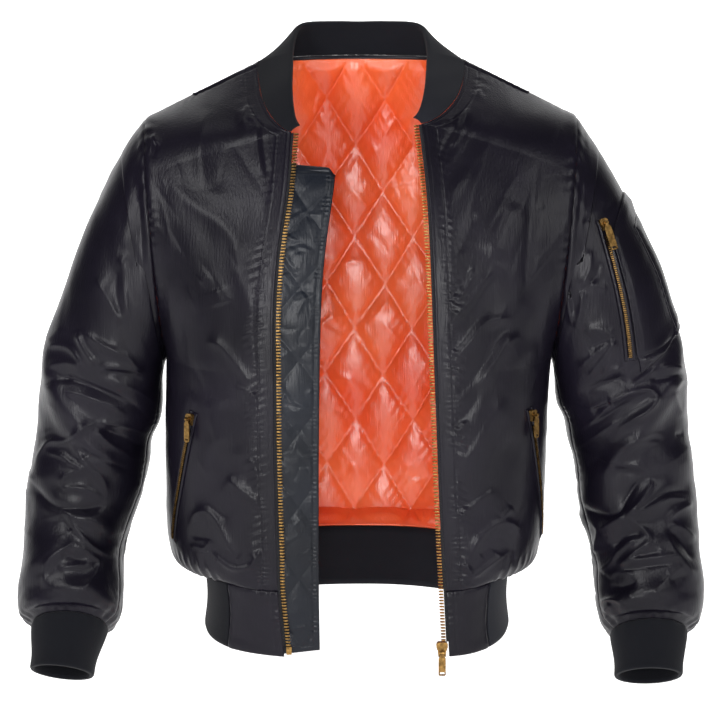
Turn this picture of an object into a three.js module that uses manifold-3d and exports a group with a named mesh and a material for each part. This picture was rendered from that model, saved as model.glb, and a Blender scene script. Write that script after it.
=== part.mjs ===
// Bomber jacket, filled out as worn but with nobody in it. Millimetres, +Z up.
// The front faces -Y and the wearer's left is +X.
// The origin is between the shoulders, at the base of the neck, where a wearer holds the jacket up.

import * as THREE from 'three';
import { mergeVertices } from 'three/addons/utils/BufferGeometryUtils.js';
import Module from 'manifold-3d';

const wasm = await Module();
wasm.setup();

// Cloth
const SHELL_THICK = 2.0;
const RIB_THICK = 3.6;
const LINING_THICK = 1.6;
const PILLOW_RISE = 5.0;
const FLAP_THICK = 2.6;
const FLAP_RISE = 1.6;
const TAPE_THICK = 1.0;
const PATCH_THICK = 1.4;
const SEAM_GAP = 0.3;

// Body
const SIDE_Y = 5;
const UNDERARM = 0.4;
const NECK_START = 0.8;
const ROUNDNESS = 2.4;
const ARMHOLE_HALF_DEPTH = 86;
const NECK_SHARE = 0.5;
const BAND_HEIGHT = 70;
const BAND_FRONT_EXTRA = 5;
const BAND_BACK_EXTRA = 2;
const BAND_FRONT_Y = -130;
const BAND_DEEP = 250;
const BAND_TAPER = 0.985;
const BAND_TUCK = 0.02;
const BAND_SHARES = [0, 0.3, 0.65, 1];
const COLLAR_LEAN = 8;
const NECK_POINT = { left: [121, 10, 15], right: [118, 10, 13] };
const BACK_NECK = [0, 88, 24];
const HEM_PANEL_SHARE = 0.4;
const ZIP_SETBACK = 5.5;

// Zips
const TEETH_WIDTH = 5.4;
const TEETH_THICK = 3.0;
const SMALL_TEETH_WIDTH = 4.4;
const SMALL_TEETH_THICK = 1.8;
const WELT_WIDTH = 13;
const WELT_THICK = 1.0;
const MAIN_SLIDER = {
  width: 13.2, height: 16.5, thick: 7.6, hinge: -3, eyeRadius: 2.7, holeRadius: 1.7, bar: 1.8,
  tabLength: 26, tabWidth: 8.2, tabThick: 1.5,
};
const POCKET_SLIDER = {
  width: 10.4, height: 13, thick: 4.2, hinge: 1, eyeRadius: 2.3, holeRadius: 1.4, bar: 1.4,
  tabLength: 26, tabWidth: 7.6, tabThick: 1.3,
};
const SLEEVE_SLIDER = {
  width: 10.4, height: 13, thick: 4.2, hinge: 1, eyeRadius: 2.3, holeRadius: 1.4, bar: 1.4,
  tabLength: 32, tabWidth: 9, tabThick: 1.3,
};
const SLIDER_CLEARANCE = 0.4;
const POCKET_TEETH_SPAN = [0.12, 0.98];
const SLEEVE_TEETH_SPAN = [0.13, 0.98];
const ALONG_STEP = 0.02;
const SLEEVE_TURN_STEP = 3;
const TAPE_OUTER_DROP = 0.4;
const END_PIN_INSET = 0.6;
const MAIN_SLIDER_SHIFT = 1.6;
const LEFT_ZIP_END = -0.094;
const RIGHT_ZIP_END = -0.104;
const END_PIN = { width: 6, height: 9, thick: 4 };

// Grid steps
const BODY_LOW_ROWS = [0, 0.03, 0.06, 0.1, 0.16, 0.22, 0.28, 0.34];
const ARMHOLE_STEPS = 12;
const FRONT_STEPS = 10;
const BACK_STEPS = 20;
const SLEEVE_STEPS = 26;
const RING_STEPS = 24;
const CUFF_STEPS = 5;
const COLLAR_STEPS = 4;

// Places on each side: t runs up the body from the waistband seam (0) past the underarm (0.4).
// The side seam's distance from the middle and its height; it balloons over the waistband.
const SIDE_SEAM = [
  { t: 0.0, left: 176, right: 184, z: -566 },
  { t: 0.03, left: 187, right: 197, z: -575 },
  { t: 0.06, left: 202, right: 214, z: -567 },
  { t: 0.1, left: 210, right: 223, z: -545 },
  { t: 0.16, left: 214, right: 226, z: -510 },
  { t: 0.22, left: 215.5, right: 226, z: -468 },
  { t: 0.28, left: 217, right: 226, z: -422 },
  { t: 0.34, left: 219, right: 225.5, z: -373 },
  { t: 0.4, left: 222, right: 224, z: -322 },
];

// The middle of the zip's teeth, from the hem (below 0) to the neck (0.8).
const ZIP_LINE = [
  { t: -0.12, left: 94.8, right: 79.5, y: -127, leftZ: -655, rightZ: -654 },
  { t: 0.0, left: 90.6, right: 86.2, y: -130, leftZ: -580, rightZ: -580 },
  { t: 0.1, left: 87.8, right: 87.2, y: -131.5, leftZ: -530, rightZ: -530 },
  { t: 0.2, left: 85, right: 88.6, y: -132, leftZ: -475, rightZ: -475 },
  { t: 0.3, left: 82.4, right: 89.8, y: -132, leftZ: -410, rightZ: -410 },
  { t: 0.4, left: 79.5, right: 90, y: -131, leftZ: -338, rightZ: -338 },
  { t: 0.5, left: 77, right: 90, y: -129, leftZ: -268, rightZ: -268 },
  { t: 0.6, left: 74.4, right: 85.4, y: -122.5, leftZ: -200, rightZ: -200 },
  { t: 0.7, left: 70.2, right: 76, y: -108, leftZ: -130, rightZ: -134 },
  { t: 0.8, left: 62.6, right: 71, y: -82, leftZ: -59, rightZ: -68 },
];

// The middle of the back: it balloons over the rib band, then runs up to the neck.
const BACK_LINE = [
  { t: 0.0, y: 112, z: -550 },
  { t: 0.03, y: 122, z: -560 },
  { t: 0.06, y: 133, z: -554 },
  { t: 0.1, y: 138, z: -535 },
  { t: 0.16, y: 138, z: -502 },
  { t: 0.28, y: 134, z: -420 },
  { t: 0.4, y: 130, z: -335 },
  { t: 0.55, y: 130, z: -235 },
  { t: 0.7, y: 130, z: -130 },
  { t: 0.8, y: 124, z: -68 },
  { t: 0.9, y: 110, z: -18 },
  { t: 1.0, y: 92, z: 24 },
];

// How far a level section is a round quarter (1) instead of a straight slope (0).
const SECTION_ROUND = [
  { t: 0.0, front: 1, back: 1 },
  { t: 0.4, front: 1, back: 1 },
  { t: 0.5, front: 0.8, back: 0.85 },
  { t: 0.65, front: 0.5, back: 0.65 },
  { t: 0.8, front: 0.3, back: 0.5 },
  { t: 1.0, front: 0.1, back: 0.4 },
];

// Sleeve sections from the armhole to the cuff seam: the outer and the inner point in the front view,
// the middle's place in depth, and half the sleeve's depth.
const SLEEVE = {
  right: [
    { outX: 246.7, outZ: -51.7, inX: 224, inZ: -322, y: 5, depth: 86 },
    { outX: 268.8, outZ: -79.4, inX: 229, inZ: -338, y: 5, depth: 84 },
    { outX: 292.4, outZ: -123.2, inX: 231, inZ: -352, y: 3, depth: 82 },
    { outX: 316.3, outZ: -175.3, inX: 231.5, inZ: -370, y: 2, depth: 80 },
    { outX: 340.7, outZ: -239.5, inX: 232.5, inZ: -388, y: 3, depth: 78 },
    { outX: 363.1, outZ: -304.2, inX: 236, inZ: -406, y: 6, depth: 76 },
    { outX: 375.3, outZ: -363.6, inX: 245.4, inZ: -426.6, y: 10, depth: 74 },
    { outX: 380.0, outZ: -417.3, inX: 249.4, inZ: -455.5, y: 11, depth: 71 },
    { outX: 389.8, outZ: -474.0, inX: 256.4, inZ: -488.3, y: 8, depth: 69 },
    { outX: 394.0, outZ: -522.8, inX: 272, inZ: -531.2, y: 0, depth: 66 },
    { outX: 396.5, outZ: -570, inX: 279.0, inZ: -562, y: -12, depth: 64 },
    { outX: 399.2, outZ: -604, inX: 277, inZ: -598, y: -24, depth: 62 },
    { outX: 396.5, outZ: -628, inX: 280.6, inZ: -628, y: -36, depth: 58 },
    { outX: 381.5, outZ: -638, inX: 293, inZ: -641, y: -44, depth: 42 },
  ],
  left: [
    { outX: 249, outZ: -49.4, inX: 222, inZ: -322, y: 5, depth: 86 },
    { outX: 268.8, outZ: -77.1, inX: 226, inZ: -338, y: 5, depth: 84 },
    { outX: 292.3, outZ: -114, inX: 227.5, inZ: -352, y: 3, depth: 82 },
    { outX: 316.2, outZ: -163.7, inX: 228.5, inZ: -366, y: 2, depth: 80 },
    { outX: 343.9, outZ: -222, inX: 231.5, inZ: -384, y: 3, depth: 78 },
    { outX: 367.6, outZ: -292.4, inX: 240, inZ: -402.2, y: 6, depth: 76 },
    { outX: 382, outZ: -346, inX: 245, inZ: -426, y: 10, depth: 74 },
    { outX: 385, outZ: -398, inX: 253, inZ: -456.7, y: 11, depth: 71 },
    { outX: 389.4, outZ: -454, inX: 257.5, inZ: -493, y: 8, depth: 69 },
    { outX: 397.2, outZ: -506, inX: 265.5, inZ: -531, y: 0, depth: 66 },
    { outX: 398.5, outZ: -556.3, inX: 274.5, inZ: -568.3, y: -12, depth: 64 },
    { outX: 402.5, outZ: -601, inX: 275.1, inZ: -607, y: -24, depth: 62 },
    { outX: 396.1, outZ: -634, inX: 281.1, inZ: -634, y: -36, depth: 58 },
    { outX: 380.7, outZ: -646, inX: 291.4, inZ: -647, y: -44, depth: 42 },
  ],
};

// The cuff's open end, as the sleeve's sections are given.
const CUFF_END = {
  right: { outX: 381, outZ: -684, inX: 307, inZ: -692, y: -70, depth: 37 },
  left: { outX: 372.3, outZ: -692, inX: 293.3, inZ: -692, y: -70, depth: 37 },
};

// The sleeves' largest folds, as ridges: along (0 armhole, 1 cuff), around in degrees (0 outer,
// 90 front, 180 inner, 270 back), how far the ridge climbs along the sleeve for each turn round it,
// its half width along the sleeve, its half length round it in degrees, and its height.
const SLEEVE_FOLDS = [
  { along: 0.44, around: 60, climb: 0.35, width: 0.03, length: 70, height: 7 },
  { along: 0.52, around: 95, climb: 0.4, width: 0.03, length: 65, height: 8 },
  { along: 0.6, around: 50, climb: -0.2, width: 0.035, length: 60, height: 6 },
  { along: 0.68, around: 100, climb: 0.3, width: 0.03, length: 60, height: 8 },
  { along: 0.78, around: 70, climb: -0.3, width: 0.035, length: 55, height: 6 },
  { along: 0.87, around: 110, climb: 0.2, width: 0.03, length: 60, height: 5 },
  { along: 0.5, around: 250, climb: -0.3, width: 0.03, length: 70, height: 7 },
  { along: 0.62, around: 285, climb: 0.25, width: 0.035, length: 65, height: 7 },
  { along: 0.75, around: 250, climb: -0.25, width: 0.03, length: 60, height: 6 },
  { along: 0.86, around: 300, climb: 0.2, width: 0.03, length: 55, height: 5 },
];
const CUFF_GATHERS = 12;
const CUFF_GATHER_DEPTH = 2.6;
const WAIST_GATHER_DEPTH = 3;

// The collar's top edge over its seam, from the zip (0) past the side of the neck (1) to the middle
// of the back (2): distance from the middle, depth and height of the top edge.
const COLLAR_TOP = [
  { t: 0.0, x: 71, y: -86, z: -60 },
  { t: 0.25, x: 74.5, y: -78, z: -44 },
  { t: 0.5, x: 77, y: -61, z: -24 },
  { t: 0.75, x: 78, y: -36, z: -2 },
  { t: 1.0, x: 78, y: 0, z: 24 },
  { t: 1.2, x: 77, y: 26, z: 44 },
  { t: 1.4, x: 73, y: 51, z: 58 },
  { t: 1.6, x: 58, y: 67, z: 63 },
  { t: 1.8, x: 32, y: 76, z: 64 },
  { t: 2.0, x: 0, y: 78, z: 64 },
];
const COLLAR_BULGE = 3;

// The wind flap's free edge, behind the right front's zip.
const FLAP_EDGE = [
  { t: -0.12, x: -45.2, y: -118, z: -650 },
  { t: 0.0, x: -46.1, y: -120, z: -580 },
  { t: 0.3, x: -45.7, y: -122, z: -410 },
  { t: 0.5, x: -43.2, y: -120, z: -268 },
  { t: 0.6, x: -38.4, y: -113, z: -200 },
  { t: 0.7, x: -29.5, y: -101, z: -134 },
  { t: 0.75, x: -27, y: -92, z: -108 },
];
const FLAP_TOP = 0.75;

// The sign of each side along X, and of the front and the back along Y.
const PICK = { left: 1, right: -1 };
const FRONT = -1;
const BACK = 1;

const SHELL_CLOTH = { color: 0x232229, roughness: 0.42, metalness: 0 };
const RIB_KNIT = { color: 0x232428, roughness: 0.9, metalness: 0 };
const LINING_CLOTH = { color: 0xf0703f, roughness: 0.45, metalness: 0 };
const TAPE_CLOTH = { color: 0x1c1c20, roughness: 0.85, metalness: 0 };
const BRASS = { color: 0xa98449, roughness: 0.35, metalness: 1 };

const group = new THREE.Group();

function mix(a, b, k) {
  return a + (b - a) * k;
}

function clamp(k) {
  return Math.min(Math.max(k, 0), 1);
}

function smooth(k) {
  const c = clamp(k);
  return c * c * (3 - 2 * c);
}

// One column of a table at t, on a smooth curve through its rows.
function along(rows, t, column) {
  const last = rows.length - 1;
  let i = 0;
  while (i < last - 1 && t > rows[i + 1].t) {
    i += 1;
  }
  const slope = (j) => {
    const low = rows[Math.max(j - 1, 0)];
    const high = rows[Math.min(j + 1, last)];
    return (high[column] - low[column]) / (high.t - low.t);
  };
  const step = rows[i + 1].t - rows[i].t;
  const k = (t - rows[i].t) / step;
  const value = mix(rows[i][column], rows[i + 1][column], k * k * (3 - 2 * k));
  const bend = slope(i) * k * (1 - k) * (1 - k) - slope(i + 1) * k * k * (1 - k);
  return value + step * bend;
}

for (const side of ['left', 'right']) {
  SLEEVE[side].forEach((row, i, rows) => {
    row.t = i / (rows.length - 1);
  });
}

// The wall between two faces of points. Where it is closed, the last column joins the first.
function wallGeometry(outer, inner, closed, diagonal) {
  const rows = outer.length;
  const columns = outer[0].length;
  const positions = [];
  for (const face of [outer, inner]) {
    for (const row of face) {
      for (const p of row) {
        positions.push(p.x, p.y, p.z);
      }
    }
  }
  const at = (face, i, j) => face * rows * columns + i * columns + (j % columns);
  const index = [];
  const quad = (a, b, c, d, first) => {
    if (first) {
      index.push(a, b, c, a, c, d);
    } else {
      index.push(a, b, d, b, c, d);
    }
  };
  const lastColumn = closed ? columns : columns - 1;
  for (let i = 0; i < rows - 1; i += 1) {
    for (let j = 0; j < lastColumn; j += 1) {
      const first = diagonal(i, j);
      quad(at(0, i, j), at(0, i, j + 1), at(0, i + 1, j + 1), at(0, i + 1, j), first);
      quad(at(1, i, j), at(1, i + 1, j), at(1, i + 1, j + 1), at(1, i, j + 1), first);
    }
  }
  for (let j = 0; j < lastColumn; j += 1) {
    quad(at(0, 0, j + 1), at(0, 0, j), at(1, 0, j), at(1, 0, j + 1), true);
    const end = rows - 1;
    quad(at(0, end, j), at(0, end, j + 1), at(1, end, j + 1), at(1, end, j), true);
  }
  if (!closed) {
    for (let i = 0; i < rows - 1; i += 1) {
      const end = columns - 1;
      quad(at(0, i, 0), at(0, i + 1, 0), at(1, i + 1, 0), at(1, i, 0), true);
      quad(at(0, i + 1, end), at(0, i, end), at(1, i, end), at(1, i + 1, end), true);
    }
  }
  const geometry = new THREE.BufferGeometry();
  geometry.setAttribute('position', new THREE.Float32BufferAttribute(positions, 3));
  geometry.setIndex(index);
  if (volumeOf(geometry) < 0) {
    for (let k = 0; k < index.length; k += 3) {
      [index[k], index[k + 1]] = [index[k + 1], index[k]];
    }
    geometry.setIndex(index);
  }
  return geometry;
}

function volumeOf(geometry) {
  const index = geometry.index.array;
  const position = geometry.attributes.position;
  const corner = [new THREE.Vector3(), new THREE.Vector3(), new THREE.Vector3()];
  let sum = 0;
  for (let k = 0; k < index.length; k += 3) {
    corner.forEach((p, n) => p.fromBufferAttribute(position, index[k + n]));
    sum += corner[0].dot(corner[1].clone().cross(corner[2]));
  }
  return sum;
}

// Draws the grid's borders back by half a seam's gap, so that two pieces that share a border part.
function trimmed(grid, closed) {
  const rows = grid.length;
  const columns = grid[0].length;
  const pull = (p, next) => {
    const step = next.clone().sub(p);
    return p.clone().add(step.setLength(Math.min(SEAM_GAP / 2, step.length() / 2)));
  };
  let result = grid.map((row) => row.map((p) => p.clone()));
  result[0] = result[0].map((p, j) => pull(p, grid[1][j]));
  result[rows - 1] = result[rows - 1].map((p, j) => pull(p, grid[rows - 2][j]));
  if (!closed) {
    result = result.map((row) => {
      const next = row.slice();
      next[0] = pull(row[0], row[1]);
      next[columns - 1] = pull(row[columns - 1], row[columns - 2]);
      return next;
    });
  }
  return result;
}

// Unit directions across the wall, from the grid's own slopes, on the side where inside lies.
function inwardOf(grid, inside, closed = false) {
  const rows = grid.length;
  const columns = grid[0].length;
  const pick = (j) => (closed ? (j + columns) % columns : Math.min(Math.max(j, 0), columns - 1));
  const directions = grid.map((row, i) => row.map((p, j) => {
    const up = grid[Math.min(i + 1, rows - 1)][j].clone().sub(grid[Math.max(i - 1, 0)][j]);
    const across = grid[i][pick(j + 1)].clone().sub(grid[i][pick(j - 1)]);
    return up.cross(across).normalize();
  }));
  const i = Math.floor(rows / 2);
  const j = Math.floor(columns / 2);
  const flip = directions[i][j].dot(inside.clone().sub(grid[i][j])) < 0 ? -1 : 1;
  return directions.map((row) => row.map((d) => d.multiplyScalar(flip)));
}

// Moves every point of a grid along its direction, by one distance or by one for each point.
function moved(grid, directions, distance) {
  const far = (i, j) => (typeof distance === 'function' ? distance(i, j) : distance);
  return grid.map((row, i) => row.map((p, j) => p.clone().addScaledVector(directions[i][j], far(i, j))));
}

function alternate(i, j) {
  return (i + j) % 2 === 0;
}

function addPiece(name, geometry, look) {
  geometry.computeVertexNormals();
  const mesh = new THREE.Mesh(geometry, new THREE.MeshStandardMaterial(look));
  mesh.name = name;
  group.add(mesh);
  return mesh;
}

// A cloth piece: the grid is its outer face, and its thickness is laid inwards.
function addCloth(name, grid, directions, thickness, look, closed = false, diagonal = alternate) {
  const outer = trimmed(grid, closed);
  const inner = moved(outer, directions, thickness);
  return addPiece(name, wallGeometry(outer, inner, closed, diagonal), look);
}

function makeGrid(rowValues, columnValues, point) {
  return rowValues.map((v) => columnValues.map((s) => point(s, v)));
}

function steps(count, from = 0, to = 1) {
  return Array.from({ length: count + 1 }, (_, i) => mix(from, to, i / count));
}

const BODY_ROWS = [...BODY_LOW_ROWS, ...steps(ARMHOLE_STEPS, UNDERARM, 1)];

// The edge that a body panel shares with the other panel (side seam) or with the sleeve (armhole).
function bodySide(side, v, half) {
  if (v <= UNDERARM) {
    const x = PICK[side] * along(SIDE_SEAM, v, side);
    return new THREE.Vector3(x, SIDE_Y, along(SIDE_SEAM, v, 'z'));
  }
  const turn = Math.PI * (v - UNDERARM) / (1 - UNDERARM);
  const rise = (1 - Math.cos(turn)) / 2;
  const top = SLEEVE[side][0];
  const x = PICK[side] * mix(top.inX, top.outX, rise);
  const y = SIDE_Y + half * ARMHOLE_HALF_DEPTH * Math.sin(turn);
  return new THREE.Vector3(x, y, mix(top.inZ, top.outZ, rise));
}

// The middle of the zip's teeth, moved out from the centre of the front by a set distance.
function zipPoint(side, t, away) {
  const x = PICK[side] * (along(ZIP_LINE, t, side) + away);
  return new THREE.Vector3(x, along(ZIP_LINE, t, 'y'), along(ZIP_LINE, t, `${side}Z`));
}

// The neckline seam: from the zip (0) to the side of the neck (1) and the middle of the back (2).
function neckline(side, t) {
  const [x, y, z] = NECK_POINT[side];
  if (t <= 1) {
    const start = zipPoint(side, NECK_START, ZIP_SETBACK);
    const turn = t * Math.PI / 2;
    return new THREE.Vector3(
      mix(start.x, PICK[side] * x, Math.sin(turn)),
      mix(start.y, y, 1 - Math.cos(turn)),
      mix(start.z, z, t ** 1.6),
    );
  }
  const turn = (2 - t) * Math.PI / 2;
  return new THREE.Vector3(
    PICK[side] * x * Math.sin(turn),
    mix(y, BACK_NECK[1], Math.cos(turn)),
    mix(z, BACK_NECK[2], Math.cos(turn)),
  );
}

function frontEdge(side, v) {
  if (v <= NECK_START) {
    return zipPoint(side, v, ZIP_SETBACK);
  }
  return neckline(side, (v - NECK_START) / (1 - NECK_START));
}

function quarter(s) {
  const power = 2 / ROUNDNESS;
  return { across: Math.sin(s * Math.PI / 2) ** power, rest: Math.cos(s * Math.PI / 2) ** power };
}

// Puckers where the body is gathered on to the rib band: every second column stands out.
function waistGather(column, v) {
  const fade = smooth(v / 0.03) * (1 - smooth((v - 0.06) / 0.1));
  return -WAIST_GATHER_DEPTH * fade * (column % 2);
}

// A front panel: s runs from the zip or neck (0) to the side seam or armhole (1).
function frontPoint(side, s, v) {
  const inner = frontEdge(side, v);
  const outer = bodySide(side, v, FRONT);
  const round = along(SECTION_ROUND, v, 'front');
  const { across, rest } = quarter(s);
  const p = new THREE.Vector3(
    mix(inner.x, outer.x, mix(s, across, round)),
    mix(inner.y, outer.y, mix(s ** 1.3, 1 - rest, round)),
    mix(inner.z, outer.z, s),
  );
  return p.lerp(inner.lerp(outer, s), smooth((v - 0.85) / 0.15));
}

// The top edge of the back: shoulder seam, back of the neck, shoulder seam.
function backTop(s) {
  const side = s < 0 ? 'right' : 'left';
  const share = Math.abs(s);
  if (share <= NECK_SHARE) {
    return neckline(side, 2 - share / NECK_SHARE);
  }
  const neck = neckline(side, 1);
  return neck.lerp(bodySide(side, 1, BACK), (share - NECK_SHARE) / (1 - NECK_SHARE));
}

function backBase(s, v) {
  const side = s < 0 ? 'right' : 'left';
  const share = Math.abs(s);
  const outer = bodySide(side, v, BACK);
  const round = along(SECTION_ROUND, v, 'back');
  const { across, rest } = quarter(share);
  return new THREE.Vector3(
    outer.x * mix(share, across, round),
    mix(outer.y, along(BACK_LINE, v, 'y'), mix(1 - share * share, rest, round)),
    mix(outer.z, along(BACK_LINE, v, 'z'), Math.cos(share * Math.PI / 2) ** 1.5),
  );
}

// The back panel: s runs from the right side (-1) to the left side (1).
function backPoint(s, v) {
  const p = backBase(s, v);
  const correction = backTop(s).sub(backBase(s, 1));
  return p.addScaledVector(correction, smooth((v - 0.75) / 0.25));
}

// Turns the wall straight down at the shoulder seam, straight across at the side seam, and away
// from the sleeve at the armhole.
function settleDirections(directions, armholeColumns) {
  const top = directions.length - 1;
  directions[top] = directions[top].map(() => new THREE.Vector3(0, 0, -1));
  directions.forEach((row, i) => {
    armholeColumns.forEach(([column, sign]) => {
      const d = row[column];
      if (BODY_ROWS[i] <= UNDERARM) {
        d.y = 0;
      } else if (d.x * sign > 0) {
        d.x = 0;
      }
      d.normalize();
    });
  });
  return directions;
}

const INSIDE = new THREE.Vector3(0, 0, -300);

const FRONT_COLUMNS = steps(FRONT_STEPS);
const BACK_COLUMNS = steps(BACK_STEPS, -1, 1);

function frontShell(side) {
  const grid = makeGrid(BODY_ROWS, FRONT_COLUMNS, (s, v) => frontPoint(side, s, v));
  const directions = settleDirections(inwardOf(grid, INSIDE), [[FRONT_STEPS, PICK[side]]]);
  return { grid, directions };
}

function backShell() {
  const grid = makeGrid(BODY_ROWS, BACK_COLUMNS, backPoint);
  const directions = settleDirections(inwardOf(grid, INSIDE), [[0, -1], [BACK_STEPS, 1]]);
  return { grid, directions };
}

function gathered({ grid, directions }, isGathered) {
  return moved(grid, directions, (i, j) => {
    return isGathered(j) ? waistGather(j, BODY_ROWS[i]) : 0;
  });
}

const shells = { left: frontShell('left'), right: frontShell('right'), back: backShell() };
for (const side of ['left', 'right']) {
  const first = Math.round(FRONT_STEPS * HEM_PANEL_SHARE);
  const grid = gathered(shells[side], (j) => j > first && j < FRONT_STEPS);
  addCloth(`front_${side}`, grid, shells[side].directions, SHELL_THICK, SHELL_CLOTH);
}
addCloth(
  'back',
  gathered(shells.back, (j) => j > 0 && j < BACK_STEPS),
  shells.back.directions,
  SHELL_THICK,
  SHELL_CLOTH,
);

// A sleeve's ring frame at t: its middle, the half width towards the outside and the half depth.
function sleeveFrame(side, t) {
  const rows = SLEEVE[side];
  const at = (k) => {
    const c = clamp(k);
    const y = along(rows, c, 'y');
    const out = new THREE.Vector3(PICK[side] * along(rows, c, 'outX'), y, along(rows, c, 'outZ'));
    const inn = new THREE.Vector3(PICK[side] * along(rows, c, 'inX'), y, along(rows, c, 'inZ'));
    return { middle: out.clone().add(inn).multiplyScalar(0.5), half: out.sub(inn).multiplyScalar(0.5) };
  };
  const { middle, half } = at(t);
  const path = at(t + 0.03).middle.sub(at(t - 0.03).middle);
  if (t < 0.1) {
    path.y = 0;
  }
  const depth = half.clone().cross(path).normalize();
  depth.multiplyScalar(depth.y > 0 ? -1 : 1);
  depth.multiplyScalar(along(rows, clamp(t), 'depth'));
  return { middle, half, depth };
}

function degrees(angle) {
  return angle * Math.PI / 180;
}

// The height of the sleeve's folds and of the gathers over the cuff.
function sleeveRise(t, angle) {
  let rise = 0;
  for (const fold of SLEEVE_FOLDS) {
    const turn = Math.atan2(Math.sin(angle - degrees(fold.around)), Math.cos(angle - degrees(fold.around)));
    const across = (t - fold.along - fold.climb * turn / (2 * Math.PI)) / fold.width;
    const lengthwise = turn / degrees(fold.length);
    rise += fold.height * Math.exp(-across * across - lengthwise * lengthwise * 2);
  }
  const towardsBody = smooth((-Math.cos(angle) - 0.3) / 0.5) * (1 - smooth((t - 0.5) / 0.2));
  rise *= 1 - towardsBody;
  rise *= smooth((t - 0.2) / 0.15) * (1 - smooth((t - 0.93) / 0.05));
  const gather = smooth((t - 0.86) / 0.06) * (1 - smooth((t - 0.96) / 0.04));
  return rise + CUFF_GATHER_DEPTH * gather * Math.cos(CUFF_GATHERS * angle);
}

// A point of a sleeve: the angle is 0 outside, a quarter turn in front and half a turn inside.
function sleevePoint(side, t, angle, away = 0) {
  const { middle, half, depth } = sleeveFrame(side, t);
  const p = middle.clone();
  p.addScaledVector(half, Math.cos(angle));
  p.addScaledVector(depth, Math.sin(angle));
  const outward = p.clone().sub(middle).normalize();
  return p.addScaledVector(outward, sleeveRise(t, angle) + away);
}

function towardsMiddle(side, grid, rowValues) {
  return grid.map((row, i) => {
    const { middle } = sleeveFrame(side, rowValues[i]);
    return row.map((p) => middle.clone().sub(p).normalize());
  });
}

// Each sleeve is two pieces; the smaller one is underneath and behind.
const UNDER_FROM = 11;
const UNDER_TO = 19;
const SLEEVE_ROWS = steps(SLEEVE_STEPS);

function ringAngle(index) {
  return 2 * Math.PI * index / RING_STEPS;
}

for (const side of ['left', 'right']) {
  const spans = { under: [UNDER_FROM, UNDER_TO], top: [UNDER_TO, UNDER_FROM + RING_STEPS] };
  for (const [part, [from, to]] of Object.entries(spans)) {
    const angles = steps(to - from, from, to).map(ringAngle);
    const grid = makeGrid(SLEEVE_ROWS, angles, (angle, t) => sleevePoint(side, t, angle));
    const directions = towardsMiddle(side, grid, SLEEVE_ROWS);
    addCloth(`sleeve_${side}_${part}`, grid, directions, SHELL_THICK, SHELL_CLOTH);
  }
}

// The rib cuffs: tubes that narrow from the sleeve's last ring to the open end.
function cuffRing(side, k) {
  const start = sleeveFrame(side, 1);
  const end = CUFF_END[side];
  const out = new THREE.Vector3(PICK[side] * end.outX, end.y, end.outZ);
  const inn = new THREE.Vector3(PICK[side] * end.inX, end.y, end.inZ);
  const middle = out.clone().add(inn).multiplyScalar(0.5);
  const half = out.clone().sub(inn).multiplyScalar(0.5);
  const path = middle.clone().sub(start.middle);
  const depth = half.clone().cross(path).normalize();
  depth.multiplyScalar(depth.y > 0 ? -end.depth : end.depth);
  const blend = smooth(k * 1.2);
  return {
    middle: start.middle.clone().lerp(middle, k),
    half: start.half.clone().lerp(half, blend),
    depth: start.depth.clone().lerp(depth, blend),
  };
}

for (const side of ['left', 'right']) {
  const rows = steps(CUFF_STEPS);
  const frames = rows.map((k) => cuffRing(side, k));
  const angles = steps(RING_STEPS - 1, 0, RING_STEPS - 1).map(ringAngle);
  const grid = frames.map(({ middle, half, depth }) => angles.map((angle) => {
    const p = middle.clone().addScaledVector(half, Math.cos(angle));
    return p.addScaledVector(depth, Math.sin(angle));
  }));
  const directions = grid.map((row, i) => row.map((p) => frames[i].middle.clone().sub(p).normalize()));
  addCloth(`cuff_${side}`, grid, directions, RIB_THICK, RIB_KNIT, true);
}

// The collar stands on the neckline seam and leans in; its ends taper to the zip.
function collarPoint(side, t, h) {
  const base = neckline(side, t);
  const top = new THREE.Vector3(
    PICK[side] * along(COLLAR_TOP, t, 'x'),
    along(COLLAR_TOP, t, 'y'),
    along(COLLAR_TOP, t, 'z'),
  );
  const lean = side === 'left' ? COLLAR_LEAN * (1 - clamp(t)) : 0;
  top.x -= lean;
  top.z += lean;
  const out = new THREE.Vector3(base.x, base.y, 0).normalize();
  return base.lerp(top, h).addScaledVector(out, COLLAR_BULGE * 4 * h * (1 - h) * smooth(t * 2));
}

function addCollar() {
  const neckSteps = Math.round((1 - NECK_START) * ARMHOLE_STEPS / (1 - UNDERARM));
  const backSteps = Math.round(BACK_STEPS * NECK_SHARE / 2);
  const halfRing = [...steps(neckSteps), ...steps(backSteps, 1, 2).slice(1)];
  const right = halfRing.map((t) => ['right', t]);
  const left = halfRing.slice(0, -1).reverse().map((t) => ['left', t]);
  const heights = steps(COLLAR_STEPS);
  const grid = [...right, ...left].map(([side, t]) => heights.map((h) => collarPoint(side, t, h)));
  const directions = inwardOf(grid, new THREE.Vector3(0, -20, 30));
  addCloth('collar', grid, directions, RIB_THICK, RIB_KNIT);
}
addCollar();

// The band under the body: its top edge is the body's lowest row.
function bandBottom(p) {
  const behind = clamp((p.y - BAND_FRONT_Y) / BAND_DEEP);
  const height = BAND_HEIGHT + mix(BAND_FRONT_EXTRA, BAND_BACK_EXTRA, behind);
  return new THREE.Vector3(p.x, p.y * BAND_TAPER, p.z - height);
}

function bandGrid(topRow) {
  return BAND_SHARES.map((k) => topRow.map((p) => {
    const q = p.clone().lerp(bandBottom(p), k);
    const tuck = 1 - BAND_TUCK * Math.sin(Math.PI * k);
    q.x *= tuck;
    return q;
  }));
}

function levelInward(grid) {
  return inwardOf(grid, new THREE.Vector3(0, 0, -610)).map((row) => row.map((d) => {
    d.z = 0;
    return d.normalize();
  }));
}

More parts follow.
